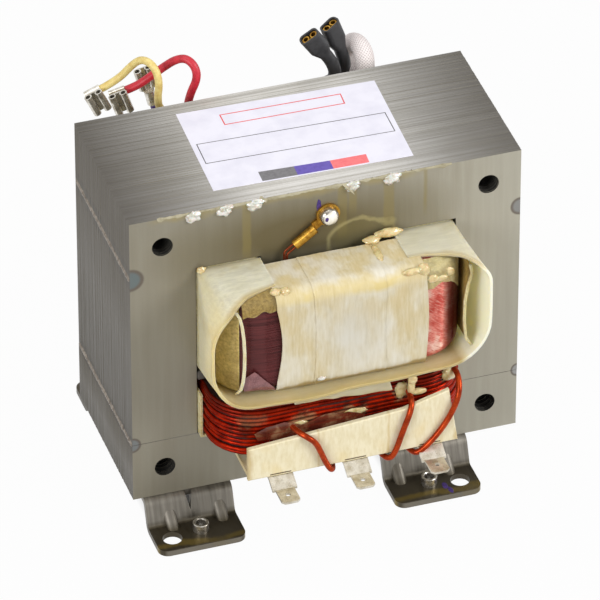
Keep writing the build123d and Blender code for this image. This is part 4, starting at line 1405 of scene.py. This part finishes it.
def band(name, solid, side, from_x, to_x, lift, left_bow, right_bow):
    """A layer of tape over one end of the coil; lift and bows are in millimetres."""
    low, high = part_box(solid)
    inner, outer = sorted((abs(low.y), abs(high.y)))
    rows = []
    for y, z, way_y, way_z, belly in band_profile(inner, outer, low.z, high.z, side):
        row = []
        start = from_x + left_bow * MM * belly
        end = to_x + right_bow * MM * belly
        for step in range(BAND_COLUMNS + 1):
            x = start + (end - start) * step / BAND_COLUMNS
            wave = noise.noise(Vector((x * BAND_WAVES_X, y * BAND_WAVES, z * BAND_WAVES)))
            push = lift * MM + wave * BAND_WAVE_SIZE
            for centre, height in CREASES:
                crease = CREASE_FALL ** -(((x / MM - centre) / CREASE_HALF) ** 2)
                push += height * MM * crease * (CREASE_END_SHARE + (1 - CREASE_END_SHARE) * belly)
            row.append((x, y + way_y * push, z + way_z * min(push, BAND_TOP_PUSH)))
        rows.append(row)
    made = paper_grid(name, rows, BAND_T if side < 0 else -BAND_T, tape_finish)
    print(name, "has", len(made.data.polygons), "faces")
    return made


CAP_ROWS, CAP_COLUMNS = 24, 32
TEAR_WAVES, TEAR_SEED, TEAR_SIZE = 260, 3.0, 1.6 * MM
CRUMPLE_WAVES, CRUMPLE_SIZE = 150, 0.3 * MM


def cap(name, solid, side, from_x, to_x, drop, finish):
    """A paper fold over the coil's top edge beside a band, with a torn lower edge."""
    low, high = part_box(solid)
    inner, outer = sorted((abs(low.y), abs(high.y)))
    top_run, bend_run = outer - BAND_EDGE_R - inner, BAND_EDGE_R * pi / 2
    rows = [[] for _ in range(CAP_ROWS + 1)]
    for step in range(CAP_COLUMNS + 1):
        x = from_x + (to_x - from_x) * step / CAP_COLUMNS
        fall = drop + noise.noise(Vector((x * TEAR_WAVES, TEAR_SEED, side))) * TEAR_SIZE
        for level, row in enumerate(rows):
            run = (top_run + bend_run + fall) * level / CAP_ROWS
            angle = min(max((run - top_run) / BAND_EDGE_R, 0.0), pi / 2)
            y = inner + min(run, top_run) + BAND_EDGE_R * sin(angle)
            z = high.z - BAND_EDGE_R * (1 - cos(angle)) - max(run - top_run - bend_run, 0.0)
            push = noise.noise(Vector((x, y, z)) * CRUMPLE_WAVES) * CRUMPLE_SIZE - CRUMPLE_SIZE / 2
            row.append((x, side * (y + sin(angle) * push), z + cos(angle) * min(push, 0.0)))
    made = paper_grid(name, rows, BAND_T if side < 0 else -BAND_T, finish)
    return keep(made, "paper")


FOLD_REACH, FOLD_OVERLAP, FOLD_DROP = mm(11.6, 1.0, 0.4)
OVER_FROM, OVER_TO = mm(-4.2, 20.5)
for solid, side in (("tape_band_front", -1), ("tape_band_back", 1)):
    low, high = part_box(solid)
    word = solid.split("_")[-1]
    cap(f"left_cap_{word}", solid, side, low.x - FOLD_REACH, low.x + FOLD_OVERLAP, FOLD_DROP, fold_paper)
    keep(band(f"tape_under_{word}", solid, side, low.x, high.x, 0.0, 1.8, 0.7), "paper", solid)
    keep(band(f"tape_over_{word}", solid, side, OVER_FROM, OVER_TO, 0.22, 0.3, -0.3), "paper", solid)

# %% [markdown]
# ## Terminal board, tabs and primary leads
# A folded cream board under the coil holds three push-on tabs, and three ends of the
# primary wire run down over it. The board and the tabs keep their solids: the finishes
# add scored joints, stains along the edges and dull patches in the tin. The wires were
# bent by hand, so each is a NURBS curve that its bends lead, with a round bevel.

# %% Terminal board and tabs


def board():
    """Pressed cream board, scored in three, with brown stains at its edges."""
    made, tree, shader = finish_base("terminal_board", 0.5, Specular_IOR_Level=0.4)
    x, _, _ = axes(tree)
    left, right = [corner.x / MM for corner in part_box("terminal_block")]
    fibre = grain(tree, place(tree, (0.9, 1, 0.25)), 1.1, 5.0)
    cloud = grain(tree, place(tree), 0.1, 3.0)
    colour = ramp(tree, fibre, (0.3, srgb(220, 207, 168)), (0.62, srgb(232, 222, 191)))
    colour = mix(tree, span(tree, cloud, 0.54, 0.72, 0.0, 0.45), colour, srgb(224, 202, 142))
    wave = sway(tree, cloud, 7.0)
    for share in (1 / 3, 2 / 3):
        seam_x = left + share * (right - left)
        seam = near_line(tree, plus(tree, x, times(tree, wave, 0.1)), seam_x, 0.12, 0.5)
        colour = mix(tree, times(tree, seam, 0.45), colour, srgb(196, 168, 100))
    for side in (left, right):
        rim = near_line(tree, plus(tree, x, wave), side, 0.4, 1.6)
        colour = mix(tree, times(tree, rim, 0.6), colour, srgb(186, 158, 96))
    paint(tree, shader, colour, gloss(tree, cloud, 0.6, 0.4), bump(tree, fibre, 0.25, 0.08))
    return made


board_finish = board()
tin_finish = plain("tinned_brass", srgb(212, 206, 192), srgb(172, 162, 140), 0.34, 0.75, 0.35)
bright_tin = plain("bright_tin", srgb(226, 222, 212), srgb(168, 160, 146), 0.2, 0.9)
dress(board_finish, "terminal_block")
dress(tin_finish, "tab_left", "tab_middle", "tab_right")
dress(bright_tin, "red_receptacle", "yellow_receptacle", "spare_receptacle")
print("board and tabs dressed")

# %% Primary leads
LEAD_D, LEAD_ROUNDNESS = 2.0, 4
lead_enamel = enamel("lead_enamel", srgb(172, 62, 24), srgb(116, 34, 14), srgb(98, 44, 24), roughness=0.22)
lead_bends = {
    "primary_lead_left": (
        (-11.5, -49.6, 44.6), (-10.4, -54.5, 44.8), (-7.6, -57.3, 43.8), (-5.1, -57.2, 41.0),
        (-3.4, -57.1, 36.6), (-1.7, -57.1, 32.0), (0.0, -57.0, 28.8), (1.2, -55.6, 28.2),
        (1.6, -53.2, 28.4),
    ),
    "primary_lead_middle": (
        (28.6, -49.6, 49.8), (28.8, -54.5, 49.2), (27.2, -57.3, 46.2), (25.4, -57.2, 41.0),
        (23.9, -57.1, 36.3), (22.4, -57.1, 31.6), (20.8, -57.0, 28.8), (19.2, -55.6, 28.2),
        (18.6, -53.2, 28.4),
    ),
    "primary_lead_right": (
        (44.4, -46.0, 53.4), (45.2, -50.0, 54.6), (45.0, -54.6, 52.6), (43.8, -57.3, 48.6),
        (41.4, -57.2, 42.2), (38.2, -57.1, 36.8), (34.2, -57.1, 32.0), (30.4, -57.0, 28.8),
        (28.6, -55.6, 28.2), (28.0, -53.2, 28.4),
    ),
}


def lead_curve(name, points, diameter, roundness=5):
    """A NURBS curve on points in metres, with a round bevel; with no diameter it is a bare line."""
    curve = bpy.data.curves.new(name, "CURVE")
    curve.dimensions = "3D"
    curve.resolution_u = 8
    curve.bevel_depth = diameter * MM / 2
    curve.bevel_resolution = roundness
    curve.use_fill_caps = True
    spline = curve.splines.new("NURBS")
    spline.points.add(len(points) - 1)
    for point, at in zip(spline.points, points):
        point.co = (*at, 1.0)
    spline.order_u = 3
    spline.use_endpoint_u = True
    return curve


for solid, bends in lead_bends.items():
    name = solid.replace("lead", "lead_wire")
    wire = smooth(curve_mesh(lead_curve(name, [mm(*at) for at in bends], LEAD_D, LEAD_ROUNDNESS)))
    keep(put(wire, name, lead_enamel), "primary_wire", solid)
print("primary leads bent")

# %% Slots behind the tabs


def solid_box(low, high):
    """A small block between two corners, as points and faces."""
    spots = [(x, y, z) for z in (low[2], high[2]) for y in (low[1], high[1]) for x in (low[0], high[0])]
    faces = [(0, 2, 3, 1), (4, 5, 7, 6), (0, 1, 5, 4), (2, 6, 7, 3), (0, 4, 6, 2), (1, 3, 7, 5)]
    return spots, faces


def joined(name, parts, *finishes):
    """One mesh object from several lists of points and faces."""
    spots, faces = [], []
    for part_spots, part_faces in parts:
        first = len(spots)
        spots.extend(part_spots)
        faces.extend(tuple(first + index for index in face) for face in part_faces)
    mesh = bpy.data.meshes.new(name)
    mesh.from_pydata(spots, [], faces)
    print(name, "has", len(faces), "faces")
    return put(mesh, name, *finishes)


# Thin dark blocks in the board's slits at the tabs, as painted shade inside the slits.
slot_shade_finish = plain("slot_shade", srgb(96, 78, 50), srgb(56, 44, 30), 0.7, 0.0, 1.5, 0.1)
SLOT_INSET, SLOT_FOOT, SLOT_HEIGHT = mm(0.6, 0.7, 0.4)
SLOT_OUT, SLOT_IN = mm(0.05, 0.3)
block_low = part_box("terminal_block")[0]
slots = []
for name in ("tab_left", "tab_middle", "tab_right"):
    low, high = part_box(name)
    foot = max(low.z, block_low.z) + SLOT_FOOT
    near = (low.x + SLOT_INSET, block_low.y - SLOT_OUT, foot)
    far = (high.x - SLOT_INSET, block_low.y + SLOT_IN, foot + SLOT_HEIGHT)
    slots.append(solid_box(near, far))
keep(joined("tab_slots", slots, slot_shade_finish), "block_board")

# %% [markdown]
# ## Earth connection
# Two secondary wires end in a brass ring under a screw on the core's front. A dab of
# white lacquer hides the screw's head, so a smooth dome goes over the solid.

# %% Earth connection
DROP_LEVEL = 3
LUMP_WAVES, SEED_STEP = 1.7, 0.37
HEAD_DEPTH = 0.9
DAB_RADII = (2.7, 1.7, 2.7)
brass_finish = plain("brass", srgb(192, 148, 60), srgb(136, 93, 29), 0.28, 0.9, 0.6, 0.05)
lacquer = plain(
    "white_lacquer", srgb(238, 234, 224), srgb(214, 206, 186), 0.22, 0.0, 0.4, 0.04, Coat_Weight=0.5
)
fine_red = enamel("earth_enamel", srgb(150, 44, 24), srgb(96, 24, 18), srgb(110, 60, 34), 0.66, 0.26)
dress(brass_finish, "ring_terminal", "boot_receptacle_left", "boot_receptacle_right")
dress(fine_red, "earth_lead")
dress(nut_finish, "earth_screw")


def blob(centre, radii, seed, rough):
    """A lumpy drop, as points and faces."""
    drop = bmesh.new()
    bmesh.ops.create_icosphere(drop, subdivisions=DROP_LEVEL, radius=1.0)
    spots = []
    for vertex in drop.verts:
        way = vertex.co.normalized()
        size = 1 + rough * noise.noise(way * LUMP_WAVES + Vector((seed, seed * SEED_STEP, 0)))
        spots.append(tuple(middle + way[axis] * size * radii[axis] for axis, middle in enumerate(centre)))
    faces = [tuple(vertex.index for vertex in face.verts) for face in drop.faces]
    drop.free()
    return spots, faces


def drop_piece(name, table, finish, slot="paper"):
    """A piece of drops, from a table of their centres and radii in millimetres, seeds and roughness."""
    drops = [blob(mm(*centre), mm(*radii), seed, rough) for centre, radii, seed, rough in table]
    piece = joined(name, drops, finish)
    smooth(piece.data)
    return keep(piece, slot)


low, high = [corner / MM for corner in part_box("earth_screw")]
screw_x, screw_y, screw_z = (low.x + high.x) / 2, low.y + HEAD_DEPTH, (low.z + high.z) / 2
dab = ((screw_x, screw_y, screw_z), DAB_RADII, 3.0, 0.06)
drop_piece("screw_lacquer", [dab], lacquer, "screw_steel")

# %% [markdown]
# ## Sticker
# A pale sticker lies on top of the core: a plain sheet with an empty red box, an empty
# thin box and three colour patches. Each mark is a very thin inlay just above the
# sheet, so it needs no picture and stays sharp from near by.

# %% Sticker
sticker_paper = plain("sticker_paper", srgb(232, 230, 240), srgb(222, 220, 232), 0.45, 0.0, 0.15, 0.02)


def ink(name, colour, dark):
    """A flat printed colour."""
    return plain(name, colour, dark, 0.5, 0.0, 1.0, 0.01)


ink_red = ink("ink_red", srgb(226, 92, 92), srgb(214, 72, 74))
ink_grey = ink("ink_grey", srgb(120, 118, 120), srgb(104, 102, 104))
ink_violet = ink("ink_violet", srgb(100, 84, 172), srgb(88, 70, 156))
ink_pink = ink("ink_pink", srgb(240, 122, 124), srgb(230, 106, 110))
ink_black = ink("ink_black", srgb(78, 76, 76), srgb(62, 60, 60))
STICKER_T = 0.12 * MM
INK_T = 0.02 * MM
STICKER_LIFT = 0.06 * MM
sticker_z = core_high.z + STICKER_LIFT


def slab(corners, bottom, thickness):
    """A thin slab over four corners, as points and faces."""
    spots = [(*mm(*corner), level) for level in (bottom, bottom + thickness) for corner in corners]
    faces = [(3, 2, 1, 0), (4, 5, 6, 7)]
    for step in range(4):
        after = (step + 1) % 4
        faces.append((step, after, after + 4, step + 4))
    return spots, faces


def frame_lines(corners, width):
    """Four thin slabs along the sides of a box of corners."""
    spots = [Vector(corner) for corner in corners]
    ways = ((1, 1), (-1, 1), (-1, -1), (1, -1))
    inner = [spot + Vector(way) * width for spot, way in zip(spots, ways)]
    lines = []
    for step in range(4):
        after = (step + 1) % 4
        side = (spots[step], spots[after], inner[after], inner[step])
        lines.append(slab(side, sticker_z + STICKER_T, INK_T))
    return lines


RED_LINE, THIN_LINE = 0.4, 0.3
sheet_corners = ((-28.0, -20.6), (39.6, -22.2), (41.3, 22.3), (-26.5, 24.3))
red_corners = ((-13.3, 13.4), (28.0, 12.7), (28.4, 18.6), (-13.2, 19.5))
thin_corners = ((-25.8, -5.6), (38.5, -7.3), (38.8, 3.9), (-25.4, 5.9))
keep(joined("sticker", [slab(sheet_corners, sticker_z, STICKER_T)], sticker_paper), "paper")
keep(joined("red_box", frame_lines(red_corners, RED_LINE), ink_red), "paper")
keep(joined("thin_box", frame_lines(thin_corners, THIN_LINE), ink_black), "paper")
patches = (
    ("grey_patch", [(-11.3, -20.5), (0.6, -20.8), (0.8, -15.8), (-11.1, -15.2)], ink_grey),
    ("violet_patch", [(0.6, -20.8), (12.7, -21.1), (12.9, -16.4), (0.8, -15.8)], ink_violet),
    ("pink_patch", [(12.7, -21.1), (24.8, -21.3), (25.2, -16.6), (12.9, -16.4)], ink_pink),
)
for name, corners, finish in patches:
    keep(joined(name, [slab(corners, sticker_z + STICKER_T, INK_T)], finish), "paper")

# %% [markdown]
# ## Dried varnish and ink
# The whole transformer was dipped in varnish, which dried in drops along the core's top
# edge, in a thin run behind them and in lumps on the paper. A lumpy drop is an icosphere
# pushed about by noise, and the run is a strip with an uneven lower edge. Strokes of
# violet ink mark the earth screw and the right foot.

# %% Drops and lumps
resin = plain(
    "dried_varnish",
    srgb(216, 197, 146),
    srgb(180, 155, 98),
    0.2,
    Coat_Weight=0.6,
    Subsurface_Weight=0.25,
    Subsurface_Scale=0.002,
)
# Clear varnish drops, coloured near white as a painted reflection of the white surround.
clear_resin_painted_reflection = plain(
    "clear_varnish",
    srgb(222, 220, 214),
    srgb(166, 156, 128),
    0.1,
    size=0.7,
    depth=0.04,
    Coat_Weight=0.8,
    Subsurface_Weight=0.2,
    Subsurface_Scale=0.001,
)
EDGE_TOP = core_high.z / MM
# Each drop on the edge: its place across and half its width, in millimetres
EDGE_DROPS = ((-38.1, 2.4), (-27.4, 2.2), (-17.2, 2.6), (15.9, 2.3), (29.4, 2.6))
edge_drops = []
for count, (x, wide) in enumerate(EDGE_DROPS):
    edge_drops.append(((x, -30.3, EDGE_TOP - 1.6), (wide, 0.9, 1.9), 1 + count, 0.5))
    edge_drops.append(((x + 0.9, -30.1, EDGE_TOP - 0.4), (wide * 0.9, 1.0, 0.9), 31 + count, 0.5))
edge_drops.append(((-2.0, -52.7, 63.4), (1.6, 0.4, 0.8), 41, 0.6))
# Each lump: its centre and radii in millimetres, its seed and its roughness
lumps = (
    ((-16.2, -48.6, 98.4), (1.9, 1.5, 1.5), 6, 0.25),
    ((-13.2, -49.0, 98.2), (1.9, 1.5, 1.6), 7, 0.3),
    ((33.6, -50.4, 97.2), (2.2, 1.6, 2.6), 8, 0.16),
    ((29.6, -50.6, 97.6), (3.4, 1.2, 1.3), 19, 0.16),
    ((36.4, -51.0, 93.6), (2.2, 1.0, 1.6), 17, 0.16),
    ((39.4, -50.4, 92.8), (2.6, 0.9, 1.2), 9, 0.16),
    ((42.6, -48.8, 93.4), (2.2, 0.8, 1.8), 18, 0.16),
    ((29.0, -54.0, 56.8), (1.6, 1.3, 1.8), 10, 0.2),
    ((29.2, -52.0, 52.4), (1.3, 1.2, 3.4), 22, 0.2),
    ((31.6, -51.6, 49.6), (3.2, 0.9, 1.2), 23, 0.2),
    ((43.4, -48.0, 52.0), (2.6, 2.0, 3.0), 11, 0.2),
    ((-9.0, -50.0, 44.2), (4.0, 0.35, 1.6), 12, 0.3),
    ((10.5, -50.0, 45.2), (4.6, 0.4, 1.3), 13, 0.3),
    ((26.4, -50.2, 50.5), (2.2, 0.5, 3.4), 14, 0.3),
    ((27.6, -32.0, 100.9), (5.0, 1.5, 1.6), 15, 0.2),
    ((21.6, -33.0, 100.0), (3.0, 1.7, 1.2), 20, 0.2),
    ((21.6, -39.0, 98.9), (1.5, 5.0, 0.7), 21, 0.2),
    ((-35.6, -31.0, 99.6), (1.6, 1.0, 1.2), 16, 0.3),
)
drop_piece("edge_drops", edge_drops, clear_resin_painted_reflection)
drop_piece("varnish_lumps", lumps, resin)

# %% A thin run and ink
edge_varnish = plain(
    "edge_varnish", srgb(172, 164, 136), srgb(140, 131, 102), 0.24, size=0.35, Coat_Weight=0.5
)
RUN_LEFT, RUN_RIGHT, RUN_COLUMNS = -50.0, 50.0, 160
RUN_T = 0.05 * MM
LONG_WAVES, SHORT_WAVES = 0.16, 0.5
EDGE_FRONT = front_y / MM
run_rows = [[], [], [], []]
for step in range(RUN_COLUMNS + 1):
    x = RUN_LEFT + (RUN_RIGHT - RUN_LEFT) * step / RUN_COLUMNS
    wave = noise.noise(Vector((x * LONG_WAVES, 2.0, 0.0)))
    wave += 0.5 * noise.noise(Vector((x * SHORT_WAVES, 9.0, 0.0)))
    fall = max(0.1, 0.5 + 1.5 * wave)
    back = max(0.1, 0.35 + 0.9 * wave)
    section = (
        (EDGE_FRONT + back, EDGE_TOP + 0.08),
        (EDGE_FRONT + 0.1, EDGE_TOP + 0.1),
        (EDGE_FRONT - 0.14, EDGE_TOP - 0.2),
        (EDGE_FRONT - 0.1, EDGE_TOP - fall),
    )
    for row, (y, z) in zip(run_rows, section):
        row.append(Vector(mm(x, y, z)))
keep(paper_grid("edge_run", run_rows, RUN_T, edge_varnish), "paper")
violet_ink = plain("violet_marker", srgb(70, 46, 118), srgb(44, 26, 86), 0.4, 0.0, 1.2, 0.02)
strokes = (
    ((4.7, -30.05, 114.9), (0.8, 0.06, 2.8), 21, 0.2),
    ((screw_x - 1.4, screw_y - 1.4, screw_z + 0.4), (0.7, 0.2, 0.8), 22, 0.2),
    ((44.3, -43.8, 2.0), (0.9, 1.7, 0.06), 23, 0.3),
    ((45.3, -46.6, 2.0), (0.8, 1.7, 0.06), 24, 0.3),
)
drop_piece("marker_strokes", strokes, violet_ink)

# %% [markdown]
# ## Lead wires
# Five insulated leads and a braided sleeve leave the coil behind the core. Each is a
# stiff wire, so it keeps the curve it was bent to. A NURBS curve on the same control
# points as the solid's route gives one smooth line, and a round bevel gives it
# its thickness. The sleeve is a mesh tube along such a line, since its braid needs
# texture coordinates that run round and along it.

# %% Lead finishes


def rubber(name, colour, dark):
    """Soft insulation with a satin skin."""
    return plain(name, colour, dark, 0.45)


red_rubber = rubber("red_silicone", srgb(200, 40, 56), srgb(168, 26, 42))
yellow_rubber = rubber("yellow_silicone", srgb(228, 208, 134), srgb(208, 178, 98))
violet_rubber = rubber("violet_silicone", srgb(92, 66, 150), srgb(60, 44, 110))
shrink_finish = plain("black_shrink", srgb(52, 52, 54), srgb(38, 38, 40), 0.5)
dress(shrink_finish, "boot_left", "boot_right")
print("lead finishes ready")

# %% Routes
lead_start = Vector((core_middle, back_y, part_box("tape_band_back")[1].z))


def route(*offsets):
    """A route's points in metres from offsets in millimetres."""
    return [lead_start + Vector(mm(*offset)) for offset in offsets]


red_route = route(
    (-16.75, 14, 0), (-16.75, 14, 5.5), (-24.6, 11.4, 12.6), (-24.4, 8.4, 20.5), (-22.2, 7, 27.2),
    (-22.75, 8, 31.6), (-25.05, 10.5, 33.6), (-27.85, 13.5, 31.6), (-31.3, 16, 27.6), (-35.8, 18, 23),
    (-39.6, 19, 20), (-43.2, 19.5, 18.8),
)
yellow_route = route(
    (-20.85, 10.5, 0), (-20.85, 10.5, 5), (-28.75, 11.5, 10), (-34.25, 11, 15), (-35.45, 8.8, 21),
    (-35.05, 8, 27), (-35.55, 9, 31.4), (-37.05, 11.5, 33.8), (-39.3, 14.5, 33.6), (-41.6, 17, 30.2),
    (-46, 18.6, 24.2), (-51.9, 19, 21.5),
)
spare_route = route(
    (-11.25, 16, 0), (-11.25, 16, 4.5), (-16.25, 18.6, 7.1), (-21.6, 22, 6.1), (-27, 24.4, 3.6),
    (-31.3, 25, 4.2), (-32.2, 25, 7.8),
)
black_left_route = route(
    (12.25, 10.5, 0), (12.25, 10.5, 4.5), (19.35, 11, 8.8), (26.2, 11.6, 11.8), (27, 10.7, 19.2),
    (22.6, 9.7, 25.8),
)
black_right_route = route(
    (12.25, 16, 0), (12.25, 16, 4.5), (18.75, 16.6, 7.5), (26.75, 16.6, 9), (31.2, 15.8, 12.5),
    (31.6, 15.3, 17.6), (29.5, 15, 23.4),
)
sleeve_route = route(
    (19.15, 5.4, 0), (19.15, 5.4, 6.4), (25.6, 5.4, 9.6), (32, 6.6, 10.2), (36, 8.2, 13.4), (36.6, 9, 17.6),
    (37, 11.5, 21.4), (36.6, 16, 22.4), (36.1, 21, 20.4), (35.6, 24.2, 15.5), (36.7, 22.6, 10.6),
    (37.1, 14, 8.6), (37.1, 14, 1.1),
)
print("six routes laid")

# %% Leads
RED_D, YELLOW_D, SPARE_D, BLACK_D = 2.8, 2.6, 2.4, 4.4


def line_points(points):
    """Points along a route's NURBS curve."""
    mesh = curve_mesh(lead_curve("bare_line", points, 0))
    made = [vertex.co.copy() for vertex in mesh.vertices]
    bpy.data.meshes.remove(mesh)
    return made


def line_length(points):
    """Length of a line of points."""
    return sum((after - before).length for before, after in zip(points, points[1:]))


def lead(name, points, diameter, finish, slot, *end_pieces):
    """An insulated lead; the end pieces given for its terminal are not used."""
    curve = lead_curve(name, points, diameter)
    curve.materials.append(finish)
    piece = bpy.data.objects.new(name + "_tube", curve)
    bpy.context.scene.collection.objects.link(piece)
    keep(piece, slot, name)
    length = line_length(line_points(points))
    print(name, "length", round(length / MM, 1), "mm")


# The spare lead goes on into its receptacle
SPARE_END = 3 * MM
spare_way = (spare_route[-1] - spare_route[-2]).normalized()
spare_route.append(spare_route[-1] + spare_way * SPARE_END)
lead("red_lead", red_route, RED_D, red_rubber, "red_silicone", "red_receptacle")
lead("yellow_lead", yellow_route, YELLOW_D, yellow_rubber, "yellow_silicone", "yellow_receptacle")
lead("spare_lead", spare_route, SPARE_D, violet_rubber, "violet_silicone", "spare_receptacle")
for word, black_route in (("left", black_left_route), ("right", black_right_route)):
    ends = (f"boot_{word}", f"boot_receptacle_{word}")
    lead(f"black_lead_{word}", black_route, BLACK_D, shrink_finish, "black_shrink", *ends)

# %% Braided sleeve
SLEEVE_D = 6.5
SLEEVE_SIDES = 20
STRANDS_ROUND, STRANDS_ALONG = 18.0, 1.3


def braid():
    """White woven glass sleeve: two sets of slanting strands from its own coordinates, greyer where the
    weave dips, as painted shade between the strands.
    """
    made, tree, shader = finish_base("white_braid", 0.75, Specular_IOR_Level=0.25)
    at = node(tree, "ShaderNodeUVMap", uv_map="braid").outputs[0]
    u, v, _ = node(tree, "ShaderNodeSeparateXYZ", {0: at}).outputs
    strands = []
    for lean in (1, -1):
        turn = plus(tree, times(tree, u, STRANDS_ROUND * lean), times(tree, v, STRANDS_ALONG))
        strands.append(math(tree, "SINE", times(tree, turn, tau)))
    weave = math(tree, "MAXIMUM", *strands)
    cloud = grain(tree, place(tree), 0.3)
    # Painted shade: the weave is greyer where it dips between the strands.
    raised = span(tree, weave, -0.4, 1.0, 0.0, 1.0)
    colour = ramp(tree, raised, (0.0, srgb(196, 184, 180)), (0.6, srgb(240, 232, 230)))
    colour = mix(tree, span(tree, cloud, 0.5, 0.7, 0.0, 0.5), colour, srgb(226, 210, 206))
    paint(tree, shader, colour, gloss(tree, cloud, 0.65, 0.85), bump(tree, weave, 0.6, 0.15))
    return made


def tube(name, points, radius, sides):
    """A closed tube along points with coordinates round and along it, in turns and millimetres."""
    spots, faces, coordinates = [], [], []
    way = (points[1] - points[0]).normalized()
    side_way = way.orthogonal().normalized()
    run = 0.0
    for index, point in enumerate(points):
        ahead = points[min(index + 1, len(points) - 1)] - points[max(index - 1, 0)]
        ahead.normalize()
        side_way = (side_way - ahead * side_way.dot(ahead)).normalized()
        other = ahead.cross(side_way)
        start = run
        run += (point - points[index - 1]).length if index else 0.0
        for step in range(sides):
            angle = tau * step / sides
            spots.append(point + (side_way * cos(angle) + other * sin(angle)) * radius)
        if index:
            base = (index - 1) * sides
            for step in range(sides):
                after = (step + 1) % sides
                faces.append((base + step, base + after, base + sides + after, base + sides + step))
                left, right = step / sides, (step + 1) / sides
                low, high = start / MM, run / MM
                coordinates.extend(((left, low), (right, low), (right, high), (left, high)))
    last = (len(points) - 1) * sides
    faces.append(tuple(reversed(range(sides))))
    faces.append(tuple(last + step for step in range(sides)))
    coordinates.extend([(0.0, 0.0)] * (2 * sides))
    mesh = bpy.data.meshes.new(name)
    mesh.from_pydata(spots, [], faces)
    layer = mesh.uv_layers.new(name="braid")
    for loop, spot in zip(layer.data, coordinates):
        loop.uv = spot
    return smooth(mesh)


sleeve_line = line_points(sleeve_route)
sleeve_name = "white_sleeve_tube"
sleeve = put(tube(sleeve_name, sleeve_line, SLEEVE_D * MM / 2, SLEEVE_SIDES), sleeve_name, braid())
keep(sleeve, "white_braid", "white_sleeve")
print("white_sleeve length", round(line_length(sleeve_line) / MM, 1), "mm")

# %% Finish
print("scene built")
